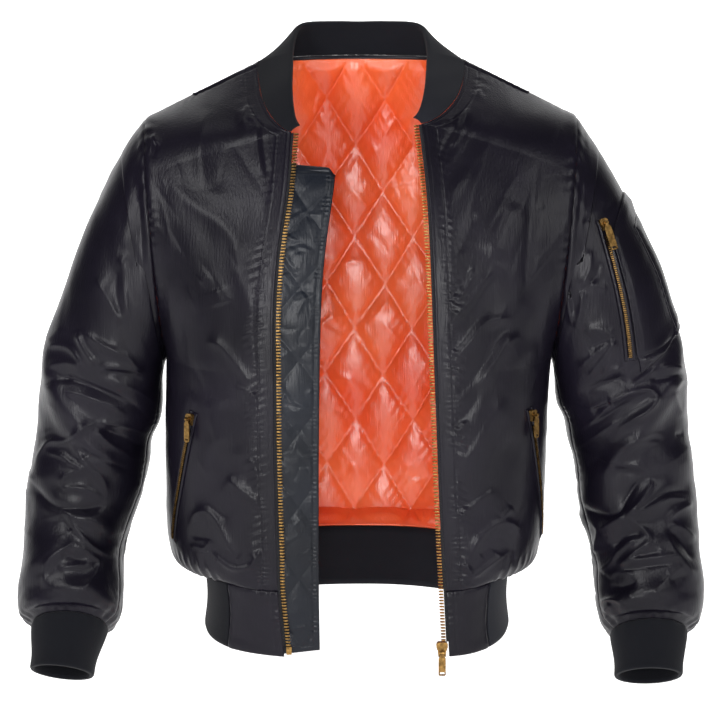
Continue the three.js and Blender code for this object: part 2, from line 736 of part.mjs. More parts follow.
// Brings the band's front ends to the zips, over the width of the hem panels.
function followZips(grid, columns) {
  grid.forEach((row, i) => {
    const t = mix(0, ZIP_LINE[0].t, i / (grid.length - 1));
    for (const [side, end, away] of [['right', 0, 1], ['left', row.length - 1, -1]]) {
      const shift = zipPoint(side, t, ZIP_SETBACK).x - row[end].x;
      for (let j = 0; j < columns; j += 1) {
        row[end + away * j].x += shift * (1 - j / columns);
      }
    }
  });
  return grid;
}

function addBand() {
  const first = Math.round(FRONT_STEPS * HEM_PANEL_SHARE);
  const ring = [
    ...shells.right.grid[0],
    ...shells.back.grid[0].slice(1, -1),
    ...shells.left.grid[0].slice().reverse(),
  ];
  const grid = followZips(bandGrid(ring), first);
  const directions = levelInward(grid);
  const end = ring.length;
  const pieces = [
    ['waistband_rib', first, end - first, RIB_THICK, RIB_KNIT],
    ['hem_panel_right', 0, first + 1, SHELL_THICK, SHELL_CLOTH],
    ['hem_panel_left', end - first - 1, end, SHELL_THICK, SHELL_CLOTH],
  ];
  for (const [name, from, to, thickness, look] of pieces) {
    const part = grid.map((row) => row.slice(from, to));
    addCloth(name, part, directions.map((row) => row.slice(from, to)), thickness, look);
  }
}
addBand();

// The quilted lining lies behind the shell, on the same grid. The cells' diagonals are the quilting
// seams, and the corners that no seam crosses are the middles of the pillows.
const LINING_LOW = BODY_ROWS.indexOf(0.1);
const LINING_OFFSET = SHELL_THICK + 0.6;
const LINING_HEM_INSET = 5;

function liningPiece(name, shell, from, to) {
  const level = (p) => new THREE.Vector3(-p.x, -p.y, 0).normalize();
  const face = moved(shell.grid, shell.directions, LINING_OFFSET);
  const hem = shell.grid[0].map((p) => p.clone().addScaledVector(level(p), LINING_HEM_INSET));
  const lowRows = [0.05, 0.5].map((k) => hem.map((p, j) => p.clone().lerp(face[LINING_LOW][j], k)));
  const grid = [...lowRows, ...face.slice(LINING_LOW)].map((row) => row.slice(from, to));
  const levels = [0, 1].map(() => shell.grid[0].map(level));
  const directions = [...levels, ...shell.directions.slice(LINING_LOW)].map((row) => row.slice(from, to));
  const parity = (i, j) => (i + j + from + LINING_LOW) % 2;
  const isEdge = (i, j) => i === 0 || i === grid.length - 1 || j === 0 || j === grid[0].length - 1;
  const thickness = (i, j) => LINING_THICK + (parity(i, j) === 1 && !isEdge(i, j) ? PILLOW_RISE : 0);
  addCloth(name, grid, directions, thickness, LINING_CLOTH, false, (i, j) => parity(i, j) === 0);
}
liningPiece('lining_back', shells.back, 0, BACK_STEPS + 1);
liningPiece('lining_front_left', shells.left, 2, FRONT_STEPS + 1);
liningPiece('lining_front_right', shells.right, 2, FRONT_STEPS + 1);

// Zip tape behind each front's edge, and the row of teeth along it.
const TAPE_REACH = 0.05;
const TAPE_WIDTH = 9;
const TAPE_DEPTH = SHELL_THICK + 0.9;
const TEETH_FRONT = TAPE_DEPTH + TAPE_THICK / 2 - TEETH_THICK / 2;
const ZIP_ROWS = [ZIP_LINE[0].t / 2, ...BODY_ROWS.filter((v) => v <= NECK_START)];

// A point beside the zip's middle and behind the front's face. Under the panel it follows the panel.
function behindEdge(side, t, away, depth) {
  const underPanel = away > ZIP_SETBACK && t > 0;
  const p = underPanel ? frontPoint(side, TAPE_REACH, t) : zipPoint(side, t, away);
  const slope = zipPoint(side, Math.min(t + ALONG_STEP, NECK_START), 0).sub(zipPoint(side, t - ALONG_STEP, 0));
  const back = new THREE.Vector3(0, slope.z, -slope.y).normalize();
  return p.addScaledVector(back, depth);
}

function addZip(side, lowest) {
  const rows = [lowest, ...ZIP_ROWS];
  const tape = rows.map((t) => [
    behindEdge(side, t, ZIP_SETBACK + TAPE_WIDTH, TAPE_DEPTH + TAPE_OUTER_DROP),
    behindEdge(side, t, TEETH_WIDTH / 2 + SEAM_GAP, TAPE_DEPTH),
  ]);
  addCloth(`zip_tape_${side}`, tape, inwardOf(tape, INSIDE), TAPE_THICK, TAPE_CLOTH);
  const teeth = rows.map((t) => [
    behindEdge(side, t, TEETH_WIDTH / 2, TEETH_FRONT),
    behindEdge(side, t, -TEETH_WIDTH / 2, TEETH_FRONT),
  ]);
  addCloth(`zip_teeth_${side}`, teeth, inwardOf(teeth, INSIDE), TEETH_THICK, BRASS);
}
addZip('right', RIGHT_ZIP_END);
addZip('left', LEFT_ZIP_END);

// The wind flap behind the right zip: padded, with shallow diamonds and a free edge.
const FLAP_ROWS = [ZIP_LINE[0].t, ...ZIP_ROWS.filter((t) => t < FLAP_TOP - 0.01), FLAP_TOP];
const FLAP_SHARES = [0, 0.22, 0.5, 0.78, 1];
const FLAP_DEPTH = TEETH_FRONT + TEETH_THICK + 0.6;
const FLAP_ROOT = 6;
const FLAP_CORNER_DROP = 8;

function addFlap() {
  const grid = FLAP_ROWS.map((t) => {
    const root = behindEdge('right', t, ZIP_SETBACK, FLAP_DEPTH);
    root.x = zipPoint('right', t, ZIP_SETBACK + FLAP_ROOT).x;
    const edge = new THREE.Vector3(...['x', 'y', 'z'].map((column) => along(FLAP_EDGE, t, column)));
    const drop = t === FLAP_TOP ? FLAP_CORNER_DROP : 0;
    return FLAP_SHARES.map((k) => {
      const p = root.clone().lerp(edge, k);
      p.y = mix(root.y, edge.y, smooth((k - 0.25) / 0.75));
      p.z -= drop * smooth((k - 0.6) / 0.4);
      return p;
    });
  });
  const isPillow = (i, j) => (i + j) % 2 === 1 && j > 0 && j < FLAP_SHARES.length - 1;
  const thickness = (i, j) => FLAP_THICK + (isPillow(i, j) ? FLAP_RISE : 0);
  addCloth('wind_flap', grid, inwardOf(grid, INSIDE), thickness, SHELL_CLOTH);
}
addFlap();

// Solids that are cut or joined.
function solidOf(geometry) {
  const bare = geometry.clone();
  bare.deleteAttribute('normal');
  bare.deleteAttribute('uv');
  const whole = mergeVertices(bare, 1e-4);
  return new wasm.Manifold(new wasm.Mesh({
    numProp: 3,
    vertProperties: new Float32Array(whole.attributes.position.array),
    triVerts: new Uint32Array(whole.index.array),
  }));
}

function joined(geometries) {
  const sum = geometries.map(solidOf).reduce((a, b) => a.add(b));
  const { vertProperties, triVerts } = sum.getMesh();
  const geometry = new THREE.BufferGeometry();
  geometry.setAttribute('position', new THREE.Float32BufferAttribute(vertProperties, 3));
  geometry.setIndex(Array.from(triVerts));
  return geometry;
}

function extruded(shape, depth, curveSegments = 6) {
  return new THREE.ExtrudeGeometry(shape, { depth, bevelEnabled: false, curveSegments });
}

// In the hardware's own frame x is across, y is up and z points away from the cloth.
// The slider: a shield that narrows downwards, with an arch on its face that holds the pull.
function sliderGeometry(size) {
  const { width, height, thick, hinge, bar } = size;
  const shape = new THREE.Shape();
  shape.moveTo(-width * 0.32, -height / 2);
  shape.lineTo(width * 0.32, -height / 2);
  shape.lineTo(width * 0.36, -height * 0.1);
  shape.quadraticCurveTo(width / 2, height * 0.1, width / 2, height * 0.3);
  shape.quadraticCurveTo(width * 0.45, height / 2, width * 0.25, height / 2);
  shape.lineTo(-width * 0.25, height / 2);
  shape.quadraticCurveTo(-width * 0.45, height / 2, -width / 2, height * 0.3);
  shape.quadraticCurveTo(-width / 2, height * 0.1, -width * 0.36, -height * 0.1);
  shape.closePath();
  const body = extruded(shape, thick, 3).translate(0, 0, -thick / 2);
  const inner = eyeWidth(size) / 2 + 0.4;
  const outer = inner + bar * 0.8;
  const top = hingeHeight(size) + bar / 2;
  const arch = new THREE.Shape();
  arch.moveTo(-outer, thick / 2 - 0.5);
  arch.lineTo(-inner, thick / 2 - 0.5);
  arch.lineTo(-inner, top - bar);
  arch.lineTo(inner, top - bar);
  arch.lineTo(inner, thick / 2 - 0.5);
  arch.lineTo(outer, thick / 2 - 0.5);
  arch.lineTo(outer, top);
  arch.lineTo(-outer, top);
  arch.closePath();
  const loop = extruded(arch, bar).rotateX(Math.PI / 2).translate(0, hinge + bar / 2, 0);
  return joined([body, loop]);
}

function eyeWidth(size) {
  return size.tabWidth * 0.4;
}

function hingeHeight(size) {
  return size.thick / 2 + size.eyeRadius + SLIDER_CLEARANCE;
}

// The pull: a round eye on the slider's arch and a flat tab with a slot at its end, hanging from y 0.
function pullGeometry(size) {
  const { eyeRadius, holeRadius, tabLength, tabWidth, tabThick } = size;
  const eye = new THREE.Shape();
  eye.absarc(0, 0, eyeRadius, 0, 2 * Math.PI);
  const hole = new THREE.Path();
  hole.absarc(0, 0, holeRadius, 0, 2 * Math.PI, true);
  eye.holes.push(hole);
  const width = eyeWidth(size);
  const ring = extruded(eye, width, 8).rotateY(Math.PI / 2).translate(-width / 2, 0, 0);
  const top = -(eyeRadius + holeRadius) / 2;
  const tab = new THREE.Shape();
  tab.moveTo(-width / 2, top);
  tab.lineTo(-tabWidth / 2, top - 4);
  tab.lineTo(-tabWidth / 2, 1 - tabLength);
  tab.lineTo(1 - tabWidth / 2, -tabLength);
  tab.lineTo(tabWidth / 2 - 1, -tabLength);
  tab.lineTo(tabWidth / 2, 1 - tabLength);
  tab.lineTo(tabWidth / 2, top - 4);
  tab.lineTo(width / 2, top);
  tab.closePath();
  const slot = new THREE.Path();
  slot.moveTo(1.6 - tabWidth / 2, 4 - tabLength);
  slot.lineTo(tabWidth / 2 - 1.6, 4 - tabLength);
  slot.lineTo(tabWidth / 2 - 1.6, 1.8 - tabLength);
  slot.lineTo(1.6 - tabWidth / 2, 1.8 - tabLength);
  slot.closePath();
  tab.holes.push(slot);
  const plate = extruded(tab, tabThick).translate(0, 0, -tabThick / 2);
  return joined([ring, plate]);
}

// Places a piece by a frame: its origin, its up direction and its direction away from the cloth.
function place(mesh, frame, offset = new THREE.Vector3()) {
  const across = frame.up.clone().cross(frame.away).normalize();
  const away = across.clone().cross(frame.up);
  const basis = new THREE.Matrix4().makeBasis(across, frame.up, away);
  mesh.quaternion.setFromRotationMatrix(basis);
  mesh.position.copy(frame.origin).add(offset.applyMatrix4(basis));
  return mesh;
}

function addSlider(name, size, frame) {
  place(addPiece(`${name}_slider`, sliderGeometry(size), BRASS), frame);
  const hinge = new THREE.Vector3(0, size.hinge, hingeHeight(size));
  place(addPiece(`${name}_pull`, pullGeometry(size), BRASS), frame, hinge);
}

// The main slider hangs at the foot of the left front's zip, and the pin at the foot of the right's.
function addMainHardware() {
  const up = new THREE.Vector3(0, 0, 1);
  const away = new THREE.Vector3(0, -1, 0);
  const foot = behindEdge('left', LEFT_ZIP_END, -MAIN_SLIDER_SHIFT, TEETH_FRONT + TEETH_THICK / 2);
  foot.z -= MAIN_SLIDER.height / 2 + SEAM_GAP;
  addSlider('main', MAIN_SLIDER, { origin: foot, up, away });
  const pin = new THREE.BoxGeometry(END_PIN.width, END_PIN.thick, END_PIN.height);
  const end = behindEdge('right', RIGHT_ZIP_END, -END_PIN_INSET, TEETH_FRONT + TEETH_THICK / 2);
  end.z -= END_PIN.height / 2 + SEAM_GAP;
  addPiece('zip_end_pin', pin, BRASS).position.copy(end);
}
addMainHardware();

// Pieces that lie on a surface along a line: strips of cloth or teeth, at a height above it.
function surfaceFrame(point, k, acrossDirection) {
  const origin = point(k);
  const down = point(k + 0.01).sub(point(k - 0.01)).normalize();
  const away = down.clone().cross(acrossDirection(k)).normalize();
  return { origin, down, away };
}

function addStrip(name, frames, width, lift, thickness, look) {
  const grid = frames.map(({ origin, down, away }) => {
    const across = away.clone().cross(down);
    return [-width / 2, width / 2].map((w) => {
      return origin.clone().addScaledVector(across, w).addScaledVector(away, lift + thickness);
    });
  });
  const directions = frames.map(({ away }) => [0, 1].map(() => away.clone().negate()));
  addCloth(name, grid, directions, thickness, look);
}

const STRIP_STEPS = 10;
const SLIDER_PLACE = 0.05;
// Each pocket's ends as places across and up its front, and how far its welt clears the cloth's facets.
const POCKET_LINE = {
  right: { top: [0.44, 0.337], low: [0.705, 0.112], welt: 1.2 },
  left: { top: [0.527, 0.34], low: [0.84, 0.116], welt: 0.8 },
};

function addPocket(side) {
  const { top, low, welt } = POCKET_LINE[side];
  const point = (k, step = 0) => frontPoint(side, mix(top[0], low[0], k) + step, mix(top[1], low[1], k));
  const across = (k) => point(k, ALONG_STEP).sub(point(k, -ALONG_STEP)).multiplyScalar(PICK[side]);
  const frameAt = (k) => surfaceFrame(point, k, across);
  const weltFrames = steps(STRIP_STEPS).map(frameAt);
  addStrip(`pocket_welt_${side}`, weltFrames, WELT_WIDTH, welt, WELT_THICK, SHELL_CLOTH);
  const lift = welt + WELT_THICK + SEAM_GAP;
  const frames = steps(STRIP_STEPS, ...POCKET_TEETH_SPAN).map(frameAt);
  addStrip(`pocket_teeth_${side}`, frames, SMALL_TEETH_WIDTH, lift, SMALL_TEETH_THICK, BRASS);
  const seat = frameAt(SLIDER_PLACE);
  const up = new THREE.Vector3(0, 0, 1);
  const away = seat.away.setZ(0).normalize();
  const origin = seat.origin.addScaledVector(away, lift + POCKET_SLIDER.thick / 2 + SLIDER_CLEARANCE);
  addSlider(`pocket_${side}`, POCKET_SLIDER, { origin, up, away });
}
addPocket('right');
addPocket('left');

// The utility pocket on the left sleeve: a patch, a pen pocket on it, and a zip along its front edge.
function addSleevePatch(name, rowFrom, rowTo, columnFrom, columnTo, lift) {
  const rows = steps(rowTo - rowFrom, rowFrom / SLEEVE_STEPS, rowTo / SLEEVE_STEPS);
  const angles = steps(columnTo - columnFrom, columnFrom, columnTo).map(ringAngle);
  const surface = makeGrid(rows, angles, (angle, t) => sleevePoint('left', t, angle));
  const inward = inwardOf(surface, sleeveFrame('left', rows[2]).middle);
  const grid = moved(surface, inward, -(lift + PATCH_THICK));
  const parity = (rowFrom + columnFrom + UNDER_TO + RING_STEPS) % 2;
  addCloth(name, grid, inward, PATCH_THICK, SHELL_CLOTH, false, (i, j) => (i + j + parity) % 2 === 0);
}
addSleevePatch('sleeve_pocket', 5, 10, -2, 3, 0.5);
addSleevePatch('pen_pocket', 6, 10, -1, 2, 2.3);

// The ends of the sleeve's zip: the place along the sleeve and the turn round it in degrees.
const SLEEVE_ZIP = { top: [0.152, 57], low: [0.351, 85], welt: 0.9 };

function addSleeveZip() {
  const { top, low, welt } = SLEEVE_ZIP;
  const point = (k, turn = 0) => {
    const angle = degrees(mix(top[1], low[1], k) + turn);
    return sleevePoint('left', mix(top[0], low[0], k), angle);
  };
  const across = (k) => point(k, -SLEEVE_TURN_STEP).sub(point(k, SLEEVE_TURN_STEP));
  const frameAt = (k) => surfaceFrame(point, k, across);
  const weltFrames = steps(STRIP_STEPS).map(frameAt);
  addStrip('sleeve_zip_welt', weltFrames, WELT_WIDTH, welt, WELT_THICK, SHELL_CLOTH);
  const lift = welt + WELT_THICK + SEAM_GAP;
  const frames = steps(STRIP_STEPS, ...SLEEVE_TEETH_SPAN).map(frameAt);
  addStrip('sleeve_zip_teeth', frames, SMALL_TEETH_WIDTH, lift, SMALL_TEETH_THICK, BRASS);
  const { origin, down, away } = frameAt(SLIDER_PLACE);
  origin.addScaledVector(away, lift + SLEEVE_SLIDER.thick / 2 + SLIDER_CLEARANCE);
  addSlider('sleeve', SLEEVE_SLIDER, { origin, up: down.negate(), away });
}
addSleeveZip();

export default group;
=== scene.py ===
"""The looks of a satin bomber jacket with a quilted lining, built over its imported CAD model.

Tables and surfaces are in millimetres, as the jacket's pattern is, and turn to metres in the mesh.
"""

import math

import bpy
import numpy as np
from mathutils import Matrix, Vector


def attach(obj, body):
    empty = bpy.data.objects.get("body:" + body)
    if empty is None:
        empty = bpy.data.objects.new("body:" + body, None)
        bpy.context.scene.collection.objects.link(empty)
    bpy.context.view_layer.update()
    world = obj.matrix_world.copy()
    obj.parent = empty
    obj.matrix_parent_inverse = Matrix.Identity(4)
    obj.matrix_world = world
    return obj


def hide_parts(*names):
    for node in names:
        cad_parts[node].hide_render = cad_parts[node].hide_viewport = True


MM = 0.001
TWO_PI = 2 * math.pi

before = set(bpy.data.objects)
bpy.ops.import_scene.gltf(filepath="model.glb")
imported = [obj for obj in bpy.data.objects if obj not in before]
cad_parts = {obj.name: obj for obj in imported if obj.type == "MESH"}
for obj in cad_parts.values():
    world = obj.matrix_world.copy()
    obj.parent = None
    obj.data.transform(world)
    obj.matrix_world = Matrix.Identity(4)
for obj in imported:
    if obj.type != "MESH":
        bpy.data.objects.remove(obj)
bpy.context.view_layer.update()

# The camera stands in front, a little above the jacket, and looks at the middle of its height
CAMERA_DISTANCE = 2400
CAMERA_TILT = math.radians(6)
CAMERA_TARGET = np.array([0, 0, -333.0])
CAMERA_AWAY = np.array([0, -math.cos(CAMERA_TILT), math.sin(CAMERA_TILT)])
CAMERA_UP = np.array([0, math.sin(CAMERA_TILT), math.cos(CAMERA_TILT)])
CAMERA_PLACE = CAMERA_TARGET + CAMERA_AWAY * CAMERA_DISTANCE
CAMERA_LENS = 102.6
FILM_WIDTH = 36
PICTURE_SIZE = 720


# Sizes shared with the CAD model

SHELL_THICK = 2.0
RIB_THICK = 3.6
LINING_THICK = 1.6
FLAP_THICK = 2.6
TAPE_THICK = 1.0
PATCH_THICK = 1.4
SEAM_GAP = 0.1
SOLID_GAP = 0.3
SIDE_Y = 5
UNDERARM = 0.4
NECK_START = 0.8
ROUNDNESS = 2.4
ARMHOLE_HALF_DEPTH = 86
NECK_SHARE = 0.5
BAND_HEIGHT = 70
NECK_POINT = {"left": (121, 10, 15), "right": (118, 10, 13)}
BACK_NECK = (0, 88, 24)
HEM_PANEL_SHARE = 0.4
ZIP_SETBACK = 5.5
TEETH_WIDTH = 5.4
TEETH_THICK = 3.0
COLLAR_BULGE = 3
LEFT_ZIP_END = -0.094
RIGHT_ZIP_END = -0.104
TAPE_DEPTH = SHELL_THICK + 0.9
TEETH_FRONT = TAPE_DEPTH + TAPE_THICK / 2 - TEETH_THICK / 2
FLAP_DEPTH = TEETH_FRONT + TEETH_THICK + 0.6
FLAP_ROOT = 6
FLAP_TOP = 0.75
SIGN = {"left": 1, "right": -1}
FRONT, BACK = -1, 1
RING_STEPS = 24
UNDER_FROM = 11
UNDER_TO = 19


def table(names, rows):
    """Named columns as arrays."""
    return dict(zip(names.split(), np.array(rows, float).T))


SIDE_SEAM = table("t left right z", [
    (0.0, 176, 184, -566),
    (0.03, 187, 197, -575),
    (0.06, 202, 214, -567),
    (0.1, 210, 223, -545),
    (0.16, 214, 226, -510),
    (0.22, 215.5, 226, -468),
    (0.28, 217, 226, -422),
    (0.34, 219, 225.5, -373),
    (0.4, 222, 224, -322),
])
ZIP_LINE = table("t left right y left_z right_z", [
    (-0.12, 94.8, 79.5, -127, -655, -654),
    (0.0, 90.6, 86.2, -130, -580, -580),
    (0.1, 87.8, 87.2, -131.5, -530, -530),
    (0.2, 85, 88.6, -132, -475, -475),
    (0.3, 82.4, 89.8, -132, -410, -410),
    (0.4, 79.5, 90, -131, -338, -338),
    (0.5, 77, 90, -129, -268, -268),
    (0.6, 74.4, 85.4, -122.5, -200, -200),
    (0.7, 70.2, 76, -108, -130, -134),
    (0.8, 62.6, 71, -82, -59, -68),
])
BACK_LINE = table("t y z", [
    (0.0, 112, -550),
    (0.03, 122, -560),
    (0.06, 133, -554),
    (0.1, 138, -535),
    (0.16, 138, -502),
    (0.28, 134, -420),
    (0.4, 130, -335),
    (0.55, 130, -235),
    (0.7, 130, -130),
    (0.8, 124, -68),
    (0.9, 110, -18),
    (1.0, 92, 24),
])
SECTION_ROUND = table("t front back", [
    (0.0, 1, 1),
    (0.4, 1, 1),
    (0.5, 0.8, 0.85),
    (0.65, 0.5, 0.65),
    (0.8, 0.3, 0.5),
    (1.0, 0.1, 0.4),
])
SLEEVE_COLUMNS = "out_x out_z in_x in_z y depth"
SLEEVE = {
    "right": table(SLEEVE_COLUMNS, [
        (246.7, -51.7, 224, -322, 5, 86),
        (268.8, -79.4, 229, -338, 5, 84),
        (292.4, -123.2, 231, -352, 3, 82),
        (316.3, -175.3, 231.5, -370, 2, 80),
        (340.7, -239.5, 232.5, -388, 3, 78),
        (363.1, -304.2, 236, -406, 6, 76),
        (375.3, -363.6, 245.4, -426.6, 10, 74),
        (380.0, -417.3, 249.4, -455.5, 11, 71),
        (389.8, -474.0, 256.4, -488.3, 8, 69),
        (394.0, -522.8, 272, -531.2, 0, 66),
        (396.5, -570, 279.0, -562, -12, 64),
        (399.2, -604, 277, -598, -24, 62),
        (396.5, -628, 280.6, -628, -36, 58),
        (381.5, -638, 293, -641, -44, 42),
    ]),
    "left": table(SLEEVE_COLUMNS, [
        (249, -49.4, 222, -322, 5, 86),
        (268.8, -77.1, 226, -338, 5, 84),
        (292.3, -114, 227.5, -352, 3, 82),
        (316.2, -163.7, 228.5, -366, 2, 80),
        (343.9, -222, 231.5, -384, 3, 78),
        (367.6, -292.4, 240, -402.2, 6, 76),
        (382, -346, 245, -426, 10, 74),
        (385, -398, 253, -456.7, 11, 71),
        (389.4, -454, 257.5, -493, 8, 69),
        (397.2, -506, 265.5, -531, 0, 66),
        (398.5, -556.3, 274.5, -568.3, -12, 64),
        (402.5, -601, 275.1, -607, -24, 62),
        (396.1, -634, 281.1, -634, -36, 58),
        (380.7, -646, 291.4, -647, -44, 42),
    ]),
}
for rows in SLEEVE.values():
    rows["t"] = np.linspace(0, 1, len(rows["y"]))
CUFF_END = {
    "right": dict(out_x=381, out_z=-684, in_x=307, in_z=-692, y=-70, depth=37),
    "left": dict(out_x=372.3, out_z=-692, in_x=293.3, in_z=-692, y=-70, depth=37),
}
SLEEVE_FOLDS = table("along around climb width length height", [
    (0.44, 60, 0.35, 0.03, 70, 7),
    (0.52, 95, 0.4, 0.03, 65, 8),
    (0.6, 50, -0.2, 0.035, 60, 6),
    (0.68, 100, 0.3, 0.03, 60, 8),
    (0.78, 70, -0.3, 0.035, 55, 6),
    (0.87, 110, 0.2, 0.03, 60, 5),
    (0.5, 250, -0.3, 0.03, 70, 7),
    (0.62, 285, 0.25, 0.035, 65, 7),
    (0.75, 250, -0.25, 0.03, 60, 6),
    (0.86, 300, 0.2, 0.03, 55, 5),
])
COLLAR_TOP = table("t x y z", [
    (0.0, 71, -86, -60),
    (0.25, 74.5, -78, -44),
    (0.5, 77, -61, -24),
    (0.75, 78, -36, -2),
    (1.0, 78, 0, 24),
    (1.2, 77, 26, 44),
    (1.4, 73, 51, 58),
    (1.6, 58, 67, 63),
    (1.8, 32, 76, 64),
    (2.0, 0, 78, 64),
])
FLAP_EDGE = table("t x y z", [
    (-0.12, -45.2, -118, -650),
    (0.0, -46.1, -120, -580),
    (0.3, -45.7, -122, -410),
    (0.5, -43.2, -120, -268),
    (0.6, -38.4, -113, -200),
    (0.7, -29.5, -101, -134),
    (0.75, -27, -92, -108),
])
POCKET_LINE = {
    "right": dict(top=(0.44, 0.337), low=(0.705, 0.112)),
    "left": dict(top=(0.527, 0.34), low=(0.84, 0.116)),
}
SLEEVE_ZIP = dict(top=(0.152, 57), low=(0.351, 85))


# Small helpers on whole arrays


def mixed(a, b, k):
    return a + (b - a) * k


def smooth(k):
    k = np.clip(k, 0, 1)
    return k * k * (3 - 2 * k)


def along(rows, t, name):
    """One column at t, on the smooth curve through the rows, whose slope at each is its neighbours' slope."""
    x, y = rows["t"], rows[name]
    last = len(x) - 1
    low, high = np.maximum(np.arange(last + 1) - 1, 0), np.minimum(np.arange(last + 1) + 1, last)
    slope = (y[high] - y[low]) / (x[high] - x[low])
    i = np.searchsorted(x[1:last], t)
    step = x[i + 1] - x[i]
    k = (t - x[i]) / step
    value = mixed(y[i], y[i + 1], k * k * (3 - 2 * k))
    return value + step * (slope[i] * k * (1 - k) ** 2 - slope[i + 1] * k * k * (1 - k))


def vec(x, y, z):
    return np.stack(np.broadcast_arrays(np.asarray(x, float), y, z), -1)


def unit(v):
    return v / np.maximum(np.linalg.norm(v, axis=-1, keepdims=True), 1e-9)


def span(*stops):
    """Values from stop to stop with even steps between each two: (start, steps, stop, steps, stop)."""
    parts = [np.linspace(a, b, int(n) + 1)[1:] for a, n, b in zip(stops[::2], stops[1::2], stops[2::2])]
    return np.concatenate([[stops[0]], *parts])


# The body's surfaces: v runs up from the waistband seam, s across the panel


def body_side(side, v, half):
    """The side seam below the underarm, and above it one half of the armhole's ellipse."""
    top = {name: values[0] for name, values in SLEEVE[side].items()}
    seam = vec(SIGN[side] * along(SIDE_SEAM, np.minimum(v, UNDERARM), side), SIDE_Y,
               along(SIDE_SEAM, np.minimum(v, UNDERARM), "z"))
    turn = math.pi * np.maximum(v - UNDERARM, 0) / (1 - UNDERARM)
    rise = (1 - np.cos(turn)) / 2
    armhole = vec(SIGN[side] * mixed(top["in_x"], top["out_x"], rise),
                  SIDE_Y + half * ARMHOLE_HALF_DEPTH * np.sin(turn),
                  mixed(top["in_z"], top["out_z"], rise))
    return np.where((v <= UNDERARM)[..., None], seam, armhole)


def zip_point(side, t, away):
    t = np.asarray(t, float)
    x = SIGN[side] * (along(ZIP_LINE, t, side) + away)
    return vec(x, along(ZIP_LINE, t, "y"), along(ZIP_LINE, t, side + "_z"))


def neckline(side, t):
    """A quarter turn from the zip (0) to the neck's side (1), and another to the middle of the back (2)."""
    x, y, z = NECK_POINT[side]
    t = np.asarray(t, float)
    start = zip_point(side, np.full_like(t, NECK_START), ZIP_SETBACK)
    front = np.clip(t, 0, 1)
    turn = front * math.pi / 2
    before = vec(mixed(start[..., 0], SIGN[side] * x, np.sin(turn)),
                 mixed(start[..., 1], y, 1 - np.cos(turn)),
                 mixed(start[..., 2], z, front ** 1.6))
    turn = (2 - np.clip(t, 1, 2)) * math.pi / 2
    behind = vec(SIGN[side] * x * np.sin(turn), mixed(y, BACK_NECK[1], np.cos(turn)),
                 mixed(z, BACK_NECK[2], np.cos(turn)))
    return np.where((t <= 1)[..., None], before, behind)


def quarter(s):
    power = 2 / ROUNDNESS
    return np.sin(s * math.pi / 2) ** power, np.maximum(np.cos(s * math.pi / 2), 0) ** power


def front_point(side, s, v):
    """From the zip or neck (s 0) to the side (s 1): a rounded quarter, nearly straight at the shoulder."""
    s, v = np.broadcast_arrays(np.asarray(s, float), np.asarray(v, float))
    inner = np.where((v <= NECK_START)[..., None], zip_point(side, np.minimum(v, NECK_START), ZIP_SETBACK),
                     neckline(side, np.clip((v - NECK_START) / (1 - NECK_START), 0, 1)))
    outer = body_side(side, v, FRONT)
    round_ = along(SECTION_ROUND, v, "front")
    across, rest = quarter(s)
    p = vec(mixed(inner[..., 0], outer[..., 0], mixed(s, across, round_)),
            mixed(inner[..., 1], outer[..., 1], mixed(s ** 1.3, 1 - rest, round_)),
            mixed(inner[..., 2], outer[..., 2], s))
    return mixed(p, mixed(inner, outer, s[..., None]), smooth((v - 0.85) / 0.15)[..., None])


def back_top(s):
    share = np.abs(s)
    total = 0
    for side, mask in (("left", s >= 0), ("right", s < 0)):
        neck = neckline(side, 2 - np.minimum(share / NECK_SHARE, 1))
        tip = body_side(side, np.ones_like(s), BACK)
        k = np.clip((share - NECK_SHARE) / (1 - NECK_SHARE), 0, 1)[..., None]
        total = total + mask[..., None] * mixed(neck, tip, k)
    return total


def back_base(s, v):
    share = np.abs(s)
    left, right = body_side("left", v, BACK), body_side("right", v, BACK)
    outer = np.where((s >= 0)[..., None], left, right)
    round_ = along(SECTION_ROUND, v, "back")
    across, rest = quarter(share)
    towards_middle = np.maximum(np.cos(share * math.pi / 2), 0) ** 1.5
    return vec(outer[..., 0] * mixed(share, across, round_),
               mixed(outer[..., 1], along(BACK_LINE, v, "y"), mixed(1 - share * share, rest, round_)),
               mixed(outer[..., 2], along(BACK_LINE, v, "z"), towards_middle))


def back_point(s, v):
    """From the right side (-1) to the left (1); its top is brought to the neck and shoulder seams."""
    s, v = np.broadcast_arrays(np.asarray(s, float), np.asarray(v, float))
    correction = back_top(s) - back_base(s, np.ones_like(v))
    return back_base(s, v) + correction * smooth((v - 0.75) / 0.25)[..., None]


# The sleeves' surfaces: t runs down the sleeve; the angle is 0 outside, a quarter turn in front


def sleeve_frame(side, t):
    rows = SLEEVE[side]

    def ends(k):
        k = np.clip(k, 0, 1)
        out = vec(SIGN[side] * along(rows, k, "out_x"), along(rows, k, "y"), along(rows, k, "out_z"))
        inn = vec(SIGN[side] * along(rows, k, "in_x"), along(rows, k, "y"), along(rows, k, "in_z"))
        return (out + inn) / 2, (out - inn) / 2

    middle, half = ends(t)
    path = ends(t + 0.03)[0] - ends(t - 0.03)[0]
    path[..., 1] *= t >= 0.1
    depth = unit(np.cross(half, path))
    depth = depth * np.where(depth[..., 1:2] > 0, -1, 1) * along(rows, np.clip(t, 0, 1), "depth")[..., None]
    return middle, half, depth


